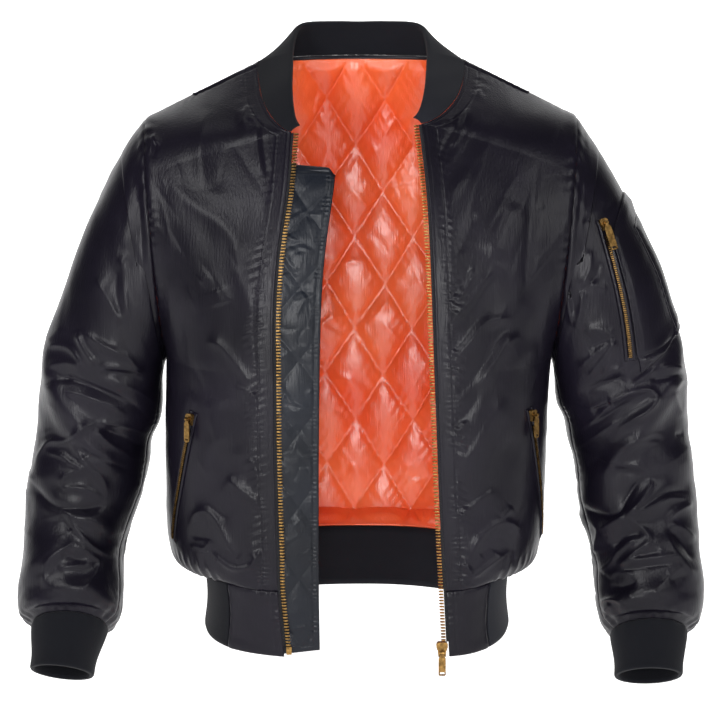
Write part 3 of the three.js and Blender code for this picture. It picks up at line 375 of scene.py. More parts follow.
def sleeve_rise(t, angle):
    """The sleeve's largest folds: each a bell across its ridge and round the sleeve."""
    rise = 0
    for along_, around, climb, width, length, height in zip(*SLEEVE_FOLDS.values()):
        turn = np.arctan2(np.sin(angle - math.radians(around)), np.cos(angle - math.radians(around)))
        across = (t - along_ - climb * turn / TWO_PI) / width
        rise = rise + height * np.exp(-across ** 2 - 2 * (turn / math.radians(length)) ** 2)
    towards_body = smooth((-np.cos(angle) - 0.3) / 0.5) * (1 - smooth((t - 0.5) / 0.2))
    return rise * (1 - towards_body) * smooth((t - 0.2) / 0.15) * (1 - smooth((t - 0.93) / 0.05))


def sleeve_point(side, t, angle, rise=0.0):
    t, angle = np.broadcast_arrays(np.asarray(t, float), np.asarray(angle, float))
    middle, half, depth = sleeve_frame(side, t)
    p = middle + half * np.cos(angle)[..., None] + depth * np.sin(angle)[..., None]
    return p + unit(p - middle) * (sleeve_rise(t, angle) + rise)[..., None]


# Folds that are placed by the front view


def front_view(points):
    """Columns and rows, from its top left corner, at which the camera's picture shows points."""
    from_camera = points - CAMERA_PLACE
    size = PICTURE_SIZE * CAMERA_LENS / FILM_WIDTH / -(from_camera @ CAMERA_AWAY)
    return PICTURE_SIZE / 2 + from_camera[..., 0] * size, PICTURE_SIZE / 2 - (from_camera @ CAMERA_UP) * size


def curve_through(places, steps=6):
    """A smooth curve through places, whose slope at a place is that of its neighbours."""
    p = np.concatenate([2 * places[:1] - places[1:2], places, 2 * places[-1:] - places[-2:-1]])
    k = np.linspace(0, 1, steps, endpoint=False)[None, :, None]
    a, b, c, d = p[:-3, None], p[1:-2, None], p[2:-1, None], p[3:, None]
    square, cube = 2 * a - 5 * b + 4 * c - d, 3 * b - a - 3 * c + d
    curve = (2 * b + (c - a) * k + square * k ** 2 + cube * k ** 3) / 2
    return np.concatenate([curve.reshape(-1, 2), places[-1:]])


def drawn_folds(points, rows):
    """Sum of folds that follow lines in the front view: (height, width, then the line's columns and rows).

    Away from its line a fold falls like exp(-distance / width), rounded at its crest. It fades at both ends.
    """
    u, v = front_view(points)
    total = np.zeros(u.shape)
    for height, width, *places in rows:
        line = curve_through(np.array(places, float).reshape(-1, 2))
        reach = 7 * width
        near = (u > line[:, 0].min() - reach) & (u < line[:, 0].max() + reach)
        near &= (v > line[:, 1].min() - reach) & (v < line[:, 1].max() + reach)
        start, step = line[:-1], np.diff(line, axis=0)
        length = np.linalg.norm(step, axis=1)
        from_start = np.stack([u[near], v[near]], -1)[:, None] - start
        k = np.clip((from_start * step).sum(-1) / length ** 2, 0, 1)
        distance = np.linalg.norm(from_start - step * k[..., None], axis=-1)
        nearest = distance.argmin(1)
        at = np.arange(len(nearest))
        before = np.concatenate([[0], np.cumsum(length)])[nearest]
        share = (before + k[at, nearest] * length[nearest]) / length.sum()
        fade = smooth(np.minimum(share, 1 - share) * 4 + 0.12)
        total[near] += height * fade * np.exp(0.35 - np.sqrt((distance[at, nearest] / width) ** 2 + 0.1225))
    return total


# Meshes


def normals_of(points, inside, closed=False):
    """Unit normals from the grid's own slopes, turned away from the inside point."""
    if closed:
        wide = np.concatenate([points[:, -1:], points, points[:, :1]], 1)
        across = (wide[:, 2:] - wide[:, :-2]) / 2
    else:
        across = np.gradient(points, axis=1)
    n = unit(np.cross(across, np.gradient(points, axis=0)))
    i, j = points.shape[0] // 2, points.shape[1] // 2
    return n * np.sign(np.dot(n[i, j], points[i, j] - np.asarray(inside, float)))


def lowest_nearby(height, reach, closed):
    """Each place's lowest height within reach grid steps, so that a coarse inner wall stays under folds."""
    out = height
    for axis in (0, 1):
        mode = "wrap" if closed and axis == 1 else "edge"
        pad = [(reach, reach) if a == axis else (0, 0) for a in (0, 1)]
        wide = np.pad(out, pad, mode=mode)
        size = out.shape[axis]
        out = np.min([np.take(wide, np.arange(k, k + size), axis) for k in range(2 * reach + 1)], 0)
    return out


def trimmed(points, closed):
    """Draws the borders back by half a seam's gap."""
    p = points.copy()
    edges = [(np.s_[0], np.s_[1]), (np.s_[-1], np.s_[-2])]
    if not closed:
        edges += [(np.s_[:, 0], np.s_[:, 1]), (np.s_[:, -1], np.s_[:, -2])]
    for edge, following in edges:
        p[edge] += unit(points[following] - points[edge]) * SEAM_GAP / 2
    return p


def grid_quads(rows, columns, width):
    """Corner numbers of a grid's cells, in a point table width wide; the last column may wrap round."""
    i, j = np.meshgrid(np.arange(rows - 1), np.arange(columns - 1), indexing="ij")
    a, b = i * width + j, i * width + (j + 1) % width
    return np.stack([a, b, b + width, a + width], -1).reshape(-1, 4)


def new_object(name, points, faces, uvs, material, smooth_faces=None):
    """A mesh object from points in millimetres, face lists and a UV for every face corner."""
    mesh = bpy.data.meshes.new(name)
    mesh.from_pydata((np.asarray(points) * MM).tolist(), [], faces)
    count = len(mesh.polygons)
    flags = np.ones(count, bool) if smooth_faces is None else np.arange(count) < smooth_faces
    mesh.polygons.foreach_set("use_smooth", flags)
    if uvs is not None:
        layer = mesh.uv_layers.new(name="UVMap")
        layer.data.foreach_set("uv", (np.asarray(uvs) * MM).astype(np.float32).ravel())
    mesh.materials.append(material)
    mesh.update()
    obj = bpy.data.objects.new(name, mesh)
    bpy.context.scene.collection.objects.link(obj)
    return obj


def arc(points, axis):
    """Length along the middle row or column, from its start."""
    line = points[points.shape[0] // 2] if axis == 1 else points[:, points.shape[1] // 2]
    return np.concatenate([[0], np.cumsum(np.linalg.norm(np.diff(line, axis=0), axis=1))])


def cloth_wall(name, base, normals, height, thickness, material, closed=False, coarse=3, back_height=None):
    """A wall of cloth: the base moved out by height is its face, and a coarser grid inside it is its back.

    The back lies a thickness under the lowest height nearby, and borders join the two with flat strips.
    """
    height = np.broadcast_to(height, base.shape[:2])
    face = trimmed(base + normals * height[..., None], closed)
    low = lowest_nearby(height, coarse, closed) if back_height is None else back_height
    back = trimmed(base + normals * (low - thickness)[..., None], closed)
    back = back[::coarse, ::coarse]
    rows, columns = base.shape[:2]
    if closed:
        wide_columns = columns + 1
        back_columns = columns // coarse + 1
    else:
        wide_columns, back_columns = columns, back.shape[1]
    back_rows = back.shape[0]
    first_back = rows * columns
    back_width = back.shape[1]
    face_quads = grid_quads(rows, wide_columns, columns)
    back_quads = grid_quads(back_rows, back_columns, back_width)[:, ::-1] + first_back
    rims = []

    def strip(outer_at, back_at, count):
        k = np.arange(count - 1)[:, None]
        outer = outer_at(k * coarse + np.arange(coarse, -1, -1))
        rims.append(np.concatenate([outer, first_back + back_at(k), first_back + back_at(k + 1)], 1))

    strip(lambda j: j % columns, lambda j: j % back_width, back_columns)
    strip(lambda j: (rows - 1) * columns + (j[:, ::-1]) % columns,
          lambda j: (back_rows - 1) * back_width + j % back_width, back_columns)
    rims[-1][:, -2:] = rims[-1][:, :-3:-1]
    if not closed:
        strip(lambda i: i[:, ::-1] * columns, lambda i: i * back_width, back_rows)
        rims[-1][:, -2:] = rims[-1][:, :-3:-1]
        strip(lambda i: i * columns + columns - 1, lambda i: i * back_width + back_width - 1, back_rows)
    rim_faces = np.concatenate(rims)
    u, v = arc(base, 1), arc(base, 0)
    if closed:
        u = np.concatenate([u, [u[-1] + np.linalg.norm(base[rows // 2, -1] - base[rows // 2, 0])]])
    i, j = np.meshgrid(np.arange(rows - 1), np.arange(wide_columns - 1), indexing="ij")
    face_uv = np.stack([np.stack([u[j + dj], v[i + di]], -1)
                        for di, dj in ((0, 0), (0, 1), (1, 1), (1, 0))], 2)
    i, j = np.meshgrid(np.arange(back_rows - 1), np.arange(back_columns - 1), indexing="ij")
    back_uv = np.stack([np.stack([u[(j + dj) * coarse], v[(i + di) * coarse]], -1)
                        for di, dj in ((1, 0), (1, 1), (0, 1), (0, 0))], 2)
    point_uv = np.stack(np.meshgrid(u[:columns], v, indexing="xy"), -1)
    all_uv = np.concatenate([point_uv.reshape(-1, 2), point_uv[::coarse, ::coarse].reshape(-1, 2)])
    rim_uv = all_uv[rim_faces.ravel()]
    uvs = np.concatenate([face_uv.reshape(-1, 2), back_uv.reshape(-1, 2), rim_uv])
    across, up = face[1:, 1:] - face[1:, :-1], face[1:, 1:] - face[:-1, 1:]
    if np.sum(np.cross(across, up) * normals[1:, 1:]) < 0:
        face_quads, back_quads, rim_faces = face_quads[:, ::-1], back_quads[:, ::-1], rim_faces[:, ::-1]
        uvs = np.concatenate([face_uv.reshape(-1, 4, 2)[:, ::-1].reshape(-1, 2),
                              back_uv.reshape(-1, 4, 2)[:, ::-1].reshape(-1, 2), all_uv[rim_faces.ravel()]])
    points = np.concatenate([face.reshape(-1, 3), back.reshape(-1, 3)])
    faces = face_quads.tolist() + back_quads.tolist() + rim_faces.tolist()
    return new_object(name, points, faces, uvs, material, len(face_quads) + len(back_quads))


def finish_piece(obj, slot, *nodes, body="jacket"):
    """The piece rides on its body and stands for its nodes."""
    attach(obj, body)
    if nodes:
        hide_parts(*nodes)


# Materials


def linear(code):
    """An sRGB hex colour as linear red, green, blue and alpha."""
    parts = [int(code[k:k + 2], 16) / 255 for k in (0, 2, 4)]
    return (*[c / 12.92 if c <= 0.04045 else ((c + 0.055) / 1.055) ** 2.4 for c in parts], 1)


def new_material(name):
    material = bpy.data.materials.new(name)
    material.use_nodes = True
    tree = material.node_tree
    tree.nodes.clear()
    out = tree.nodes.new("ShaderNodeOutputMaterial")
    shader = tree.nodes.new("ShaderNodeBsdfPrincipled")
    tree.links.new(shader.outputs[0], out.inputs[0])
    return material, tree, shader


def node(tree, kind, settings=None, **links):
    """Adds a node, sets its properties and its sockets' values, and links the sockets given sources."""
    made = tree.nodes.new(kind)
    for key, value in (settings or {}).items():
        if hasattr(made, key):
            setattr(made, key, value)
        else:
            made.inputs[key].default_value = value
    for key, source in links.items():
        socket = made.inputs[int(key[1:])] if key[0] == "_" else made.inputs[key]
        tree.links.new(source, socket)
    return made


def colour_ramp(tree, source, stops):
    ramp = node(tree, "ShaderNodeValToRGB", _0=source)
    elements = ramp.color_ramp.elements
    for k, (place, code) in enumerate(stops):
        element = elements[k] if k < 2 else elements.new(place)
        element.position, element.color = place, linear(code)
    return ramp.outputs[0]


def bump(tree, shader, height, distance, strength=1.0, under=None):
    made = node(tree, "ShaderNodeBump", {"Strength": strength, "Distance": distance}, Height=height)
    if under is not None:
        tree.links.new(under, made.inputs["Normal"])
    tree.links.new(made.outputs[0], shader.inputs["Normal"])
    return made.outputs[0]


def satin_nylon(name, shadow, light, roughness, gloss, wrinkle):
    """Filament nylon woven in satin: long floats give a wide soft gloss, streaked along the warp."""
    material, tree, shader = new_material(name)
    place = node(tree, "ShaderNodeTexCoord").outputs["Object"]
    cloud = node(tree, "ShaderNodeTexNoise", {"Scale": 9.0, "Detail": 3.0, "Roughness": 0.55}, Vector=place)
    colour = colour_ramp(tree, cloud.outputs[0], [(0.3, shadow), (0.7, light)])
    tree.links.new(colour, shader.inputs["Base Color"])
    shader.inputs["Roughness"].default_value = roughness
    shader.inputs["Specular IOR Level"].default_value = gloss
    fine = node(tree, "ShaderNodeTexNoise",
                {"Scale": 60.0, "Detail": 3.0, "Roughness": 0.55, "Distortion": 0.4}, Vector=place)
    crinkle = bump(tree, shader, fine.outputs[0], 0.003 * wrinkle, 0.2)
    warp_way = node(tree, "ShaderNodeMapping", {"Scale": (1.0, 1.0, 0.06)}, Vector=place)
    warp = node(tree, "ShaderNodeTexNoise", {"Scale": 520.0, "Detail": 2.0}, Vector=warp_way.outputs[0])
    bump(tree, shader, warp.outputs[0], 0.0006, 0.5, crinkle)
    return material


def rib_knit(name, shadow, light, pitch):
    """Spun cotton and wool rib: matte columns of stitches, a few millimetres apart, with painted shade in the
    grooves between them.
    """
    material, tree, shader = new_material(name)
    uv = node(tree, "ShaderNodeUVMap", {"uv_map": "UVMap"}).outputs[0]
    ribs = node(tree, "ShaderNodeTexWave",
                {"wave_type": "BANDS", "bands_direction": "X", "wave_profile": "SIN",
                 "Scale": 0.314 / pitch, "Distortion": 0.4, "Detail": 1.0, "Detail Scale": 2.0}, Vector=uv)
    # Painted shade: the base colour follows the same waves as the bump, from the shadow tone in the grooves
    # to the light tone on the columns.
    colour = colour_ramp(tree, ribs.outputs[1], [(0.0, shadow), (0.75, light)])
    tree.links.new(colour, shader.inputs["Base Color"])
    shader.inputs["Roughness"].default_value = 0.92
    shader.inputs["Specular IOR Level"].default_value = 0.12
    shader.inputs["Sheen Weight"].default_value = 0.04
    shader.inputs["Sheen Roughness"].default_value = 0.6
    rows = node(tree, "ShaderNodeTexNoise", {"Scale": 600.0, "Detail": 3.0}, Vector=uv)
    first = bump(tree, shader, ribs.outputs[1], 0.0012, 0.8)
    bump(tree, shader, rows.outputs[0], 0.0006, 0.5, first)
    return material


def worn_brass(name):
    """Antique brass, die cast and tumbled: a warm dull metal, darker in its pits and bright where rubbed."""
    material, tree, shader = new_material(name)
    place = node(tree, "ShaderNodeTexCoord").outputs["Object"]
    stain = node(tree, "ShaderNodeTexNoise", {"Scale": 260.0, "Detail": 3.0, "Roughness": 0.6}, Vector=place)
    colour = colour_ramp(tree, stain.outputs[0], [(0.3, "5a4426"), (0.72, "ad8850")])
    tree.links.new(colour, shader.inputs["Base Color"])
    shader.inputs["Metallic"].default_value = 1.0
    rough = node(tree, "ShaderNodeMapRange", {"To Min": 0.3, "To Max": 0.5}, Value=stain.outputs[0])
    tree.links.new(rough.outputs[0], shader.inputs["Roughness"])
    bump(tree, shader, stain.outputs[0], 0.0004, 0.3)
    return material


def woven_tape(name):
    """Polyester zip tape in herringbone: matte, with fine slanted threads."""
    material, tree, shader = new_material(name)
    uv = node(tree, "ShaderNodeUVMap", {"uv_map": "UVMap"}).outputs[0]
    turn = node(tree, "ShaderNodeMapping", {"Rotation": (0, 0, math.radians(35))}, Vector=uv)
    threads = node(tree, "ShaderNodeTexWave", {"Scale": 300.0, "Distortion": 0.5}, Vector=turn.outputs[0])
    colour = colour_ramp(tree, threads.outputs[1], [(0.0, "121215"), (1.0, "232328")])
    tree.links.new(colour, shader.inputs["Base Color"])
    shader.inputs["Roughness"].default_value = 0.85
    bump(tree, shader, threads.outputs[1], 0.0003, 0.5)
    return material


NYLON = satin_nylon("black_satin_nylon", "0c0a12", "15121c", 0.33, 0.2, 0.25)
FLAP_NYLON = satin_nylon("blue_black_nylon", "0d1017", "161a23", 0.34, 0.24, 0.8)
LINING = satin_nylon("orange_satin_nylon", "ee5124", "fb7642", 0.32, 0.8, 0.8)
# The rib's first colour is the painted shade of its grooves, the second the colour of its columns.
RIB = rib_knit("charcoal_rib_knit", "101116", "26272e", 3.0)
BRASS = worn_brass("antique_brass")
TAPE = woven_tape("black_zip_tape")


# Folds and creases


def ridges(x, z, rows):
    """Sum of creases on flat coordinates in millimetres.

    Each lies on a bent line through (x, z) at an angle. Across the line it falls away like
    exp(-distance / width), rounded at its crest, faster on one side when it leans. It fades at both ends.
    """
    total = np.zeros(np.broadcast(x, z).shape)
    for row in np.asarray(rows, float):
        cx, cz, angle, long, wide, height, bend, lean = row
        c, s = math.cos(math.radians(angle)), math.sin(math.radians(angle))
        a = ((x - cx) * c + (z - cz) * s) / long
        b = -(x - cx) * s + (z - cz) * c - bend * (a * a - 0.3)
        width = wide * (1 + lean * np.tanh(b / wide)) * (0.6 + 0.4 * (1 - np.minimum(a * a, 1)))
        fade = np.where(np.abs(a) < 1, (1 - np.minimum(a * a, 1)) ** 2, 0)
        total += height * fade * np.exp(0.25 - np.sqrt((b / width) ** 2 + 0.0625))
    return total


def scattered(seed, count, x, z, angle, long, wide, height, bend=6.0, lean=0.5):
    """A seeded table of creases spread over a rectangle, each value drawn between its two ends."""
    rng = np.random.default_rng(seed)
    draw = lambda low_high: rng.uniform(low_high[0], low_high[1], count)
    sign = rng.choice([-1, 1], count, p=[0.4, 0.6])
    return np.stack([draw(x), draw(z), draw(angle), draw(long), draw(wide), draw(height) * sign,
                     rng.uniform(-bend, bend, count), rng.uniform(-lean, lean, count)], 1)


def slack(x, z, seed, size, height, stretch=1.0):
    """Soft uneven swell: waves of several directions bent by each other, about size millimetres apart."""
    rng = np.random.default_rng(seed)
    total = np.zeros(np.broadcast(x, z).shape)
    for octave in range(3):
        scale = size / 1.9 ** octave
        for _ in range(4):
            angle = rng.uniform(0, TWO_PI)
            shift = rng.uniform(0, TWO_PI, 3)
            a = (x * math.cos(angle) + z * math.sin(angle) * stretch) / scale
            b = (-x * math.sin(angle) + z * math.cos(angle) * stretch) / scale
            bent = a + 0.25 * np.sin(TWO_PI * b * 0.6 + shift[0])
            total += np.sin(TWO_PI * bent + shift[1]) / 1.9 ** octave
    return total * height / 5


def edge_distance(points):
    """Each grid point's distance in millimetres from the first and last column and the first and last row."""
    across = np.linalg.norm(np.diff(points, axis=1), axis=2)
    up = np.linalg.norm(np.diff(points, axis=0), axis=2)
    from_first = np.pad(np.cumsum(across, 1), ((0, 0), (1, 0)))
    from_bottom = np.pad(np.cumsum(up, 0), ((1, 0), (0, 0)))
    return from_first, from_first[:, -1:] - from_first, from_bottom, from_bottom[-1:] - from_bottom


def seam(distance, depth=1.0, swell=0.6):
    """A seam's dip at the border and the soft swell of the folded allowance beside it."""
    return swell * np.exp(-((distance - 7) / 5) ** 2) - depth * np.exp(-(distance / 2.2) ** 2)


def puckers(distance, length, reach, pitch, height, seed):
    """Short wrinkles square to a sewn edge: uneven waves along it that fade with the distance from it."""
    rng = np.random.default_rng(seed)
    a, b = rng.uniform(0, TWO_PI, 2)
    wave = np.sin(TWO_PI * length / pitch + 1.6 * np.sin(length / pitch / 1.7 + a) + b)
    swell = 0.55 + 0.45 * np.sin(length / pitch / 1.3 + b)
    return height * wave * swell * np.exp(-(distance / reach) ** 2)


INSIDE = (0, 0, -300)
INWARD_LIMIT = 1.6
FOLD_LIFT = 1.0


def kept_outside(rise, from_edge):
    """Dips stay within INWARD_LIMIT, so that they clear the lining, and the cloth stands a little proud."""
    bounded = np.where(rise < 0, INWARD_LIMIT * np.tanh(rise / INWARD_LIMIT), rise)
    return bounded + FOLD_LIFT * smooth(from_edge / 30)


def groove(distance, depth, width):
    """A stitch line's narrow dip."""
    return -depth * np.exp(-(distance / width) ** 2)


def line_distance(x, z, x0, z0, x1, z1):
    """Distance in the front view from the line between two places."""
    dx, dz = x1 - x0, z1 - z0
    k = np.clip(((x - x0) * dx + (z - z0) * dz) / (dx * dx + dz * dz), 0, 1)
    return np.hypot(x - x0 - k * dx, z - z0 - k * dz)


def pocket_ends(side):
    line = POCKET_LINE[side]
    top, low = (front_point(side, *map(np.float64, line[end])) for end in ("top", "low"))
    return top[0], top[2], low[0], low[2]


# Folds of the fronts in the front view: height and width, then the line's places
FRONT_FOLDS = {
    "right": [
        (3.2, 11, 152, 165, 190, 202, 230, 232, 240, 265, 252, 310, 252, 340, 262, 382),
        (-2.4, 8, 240, 112, 232, 130, 222, 160, 216, 195),
        (2.0, 8, 207, 108, 201, 150, 205, 190),
        (-1.2, 2.5, 261, 118, 263, 145, 268, 180),
        (1.4, 3, 257, 116, 258, 145, 262, 175),
        (1.2, 3, 250, 122, 257, 108),
        (1.0, 3, 240, 127, 250, 102),
        (1.8, 2.5, 150, 152, 154, 138, 159, 147),
        (-1.6, 2, 157, 142, 152, 159),
        (2.4, 5, 205, 342, 220, 345, 237, 365, 255, 390),
        (1.2, 5, 200, 283, 211, 275),
        (1.2, 6, 217, 288, 223, 306),
        (2.2, 4, 235, 385, 255, 397, 262, 417, 266, 437),
        (2.0, 4, 250, 457, 260, 475, 267, 490),
        (-3.4, 6, 215, 450, 222, 472, 212, 492, 217, 510, 230, 520),
        (2.8, 5, 227, 475, 237, 487, 255, 500, 267, 512),
        (3.6, 4, 187, 530, 195, 515, 207, 511, 217, 520, 227, 540, 235, 555, 247, 564),
        (-2.6, 5, 196, 522, 199, 532, 198, 540),
        (2.4, 3, 190, 545, 205, 548, 211, 539),
        (3.2, 3, 210, 549, 222, 561, 235, 568, 250, 566, 257, 557, 270, 557),
        (-1.8, 4, 226, 549, 240, 558),
        (-1.4, 6, 180, 300, 184, 360, 182, 420),
        (1.2, 6, 170, 260, 172, 330, 172, 400),
        (-1.6, 7, 225, 400, 232, 430, 238, 455),
        (1.4, 6, 205, 400, 212, 425, 222, 450),
    ],
    "left": [
        (-2.4, 3, 462, 105, 457, 125, 445, 147, 437, 165),
        (2.0, 3, 468, 106, 462, 128, 450, 150),
        (1.5, 3, 462, 100, 482, 90),
        (2.0, 13, 517, 202, 505, 230, 495, 260),
        (-2.4, 5, 539, 160, 535, 190, 530, 227, 525, 290, 522, 305),
        (-1.2, 2.5, 532, 210, 545, 205),
        (-4.4, 6, 503, 269, 482, 302, 462, 335, 447, 360),
        (2.8, 5, 493, 268, 473, 298, 456, 316, 447, 324),
        (3.2, 5, 512, 317, 487, 322, 470, 341, 450, 363),
        (-4.0, 5, 518, 331, 500, 332, 487, 355, 472, 377, 457, 397),
        (3.0, 6, 521, 336, 507, 341, 494, 362, 479, 387),
        (-1.8, 3, 475, 212, 467, 237, 457, 255),
        (-2.2, 3, 470, 265, 460, 287, 450, 300),
        (1.6, 3, 477, 266, 466, 287, 455, 303),
        (-3.4, 4, 480, 385, 470, 407, 447, 435),
        (2.4, 3, 468, 421, 448, 438),
        (2.2, 9, 503, 395, 488, 425, 471, 453, 449, 462),
        (-3.0, 8, 518, 435, 503, 462, 494, 484, 470, 503, 452, 513),
        (2.8, 5, 497, 487, 481, 499, 453, 521),
        (1.4, 2.5, 446, 480, 460, 490),
        (1.8, 3, 500, 517, 512, 507),
        (3.6, 4, 470, 563, 475, 545, 487, 530, 502, 522, 515, 527, 520, 540),
        (-3.0, 5, 503, 536, 495, 553),
        (3.2, 3, 450, 570, 465, 565, 472, 575, 485, 567, 502, 555, 515, 551),
        (-1.8, 3, 480, 556, 490, 545),
        (-1.2, 6, 536, 330, 540, 370, 541, 400),
        (1.0, 6, 552, 260, 545, 320, 541, 370),
    ],
}
PLACKET_WIDTH = 17


def front_relief(side, base, s, v):
    """Folds of a front: long drag lines, gathers over the band, stitched puckers along the zip and seams."""
    x, z = base[..., 0], base[..., 2]
    at_zip, at_side, at_hem, at_top = edge_distance(base)
    seed = 11 if side == "right" else 23
    sign = SIGN[side]
    slant = (-80, -50) if side == "right" else (50, 80)
    fine = ridges(x, z, scattered(seed, 44, sorted((sign * 95, sign * 225)), (-560, -60), slant,
                                  (14, 60), (2.5, 6), (0.25, 0.8)))
    soft = slack(x, z, seed, 110, 1.0, 0.6)
    pocket = line_distance(x, z, *pocket_ends(side))
    folds = (drawn_folds(base, FRONT_FOLDS[side]) + fine + soft) * smooth((pocket - 6) / 22)
    folds = folds * smooth((at_zip - PLACKET_WIDTH + 4) / 10) * smooth(at_side / 12) * smooth(at_top / 16)
    gather = smooth((0.105 - v) / 0.07) * smooth(v / 0.02) * smooth((s - 0.36) / 0.1)
    rise = folds + 1.4 * gather * np.sin(TWO_PI * at_zip / 15 + 1.3 * np.sin(at_zip / 23))
    rise = kept_outside(rise, at_zip)
    strength = 0.35 + 0.65 * smooth((-150 - z) / 120)
    rise = rise + strength * puckers(at_zip - PLACKET_WIDTH, z, 6, 4.8, 0.5, seed) * smooth(at_zip / 6)
    rise = rise + strength * puckers(at_zip - PLACKET_WIDTH - 4, z + 0.4 * at_zip, 9, 9.5, 0.6, seed + 4)
    rise = rise + groove(at_zip - PLACKET_WIDTH, 0.6, 0.9) + groove(at_zip - 4.5, 0.4, 0.8)
    rise = rise + seam(at_side, 1.0, 0.5) + puckers(at_side, z, 11, 12, 0.5, seed + 1)
    at_collar = at_top + 40 * smooth((s - 0.55) / 0.15)
    rise = rise + groove(at_collar - 4, -1.5, 1.8) + groove(at_collar - 7.4, 1.0, 1.1)
    rise = rise + seam(at_top, 0.3, 0.0) + seam(at_hem, 1.0, 0.3)
    return rise + puckers(at_top - 8, x, 6, 9, 0.3, seed + 2)


def dress_front(side):
    s, v = np.meshgrid(span(0, 24, 0.1, 114, 1), span(0, 36, 0.1, 330, 1))
    base = front_point(side, s, v)
    normals = normals_of(base, INSIDE)
    rise = front_relief(side, base, s, v)
    obj = cloth_wall(f"{side}_front_panel", base, normals, rise, SHELL_THICK, NYLON)
    finish_piece(obj, "shell", f"front_{side}")


# Creases of the back: seed, count, then the ends that x, z, slant, length, width and height lie between
BACK_FOLDS = [
    (31, 22, (-200, 0), (-520, -60), (-75, -40), (50, 130), (7, 13), (0.8, 2.2)),
    (37, 22, (0, 200), (-520, -60), (40, 75), (50, 130), (7, 13), (0.8, 2.2)),
    (41, 12, (-150, 150), (-540, -440), (-15, 15), (50, 110), (6, 10), (1, 2.4)),
]


def dress_back():
    s, v = np.meshgrid(span(-1, 180, 1), span(0, 36, 0.1, 174, 1))
    base = back_point(s, v)
    normals = normals_of(base, INSIDE)
    x, z = base[..., 0], base[..., 2]
    from_right, from_left, at_hem, at_top = edge_distance(base)
    at_side = np.minimum(from_right, from_left)
    folds = 0
    for seed, count, wide, tall, slant, long, width, height in BACK_FOLDS:
        folds = folds + ridges(x, z, scattered(seed, count, wide, tall, slant, long, width, height))
    folds = (folds + slack(x, z, 5, 150, 2.2, 0.7)) * smooth(at_side / 16) * smooth(at_top / 30)
    gather = smooth((0.105 - v) / 0.07) * smooth(v / 0.02)
    rise = folds + 2.0 * gather * np.sin(TWO_PI * x / 17 + 1.3 * np.sin(x / 23))
    rise = kept_outside(rise, at_side)
    rise = rise + seam(at_side, 1.0, 0.5) + puckers(at_side, z, 12, 15, 0.5, 8)
    rise = rise + seam(at_top, 0.8, 0.5) + seam(at_hem, 1.0, 0.3) + puckers(at_top, x, 10, 13, 0.4, 9)
    obj = cloth_wall("back_panel", base, normals, rise, SHELL_THICK, NYLON)
    finish_piece(obj, "shell", "back")


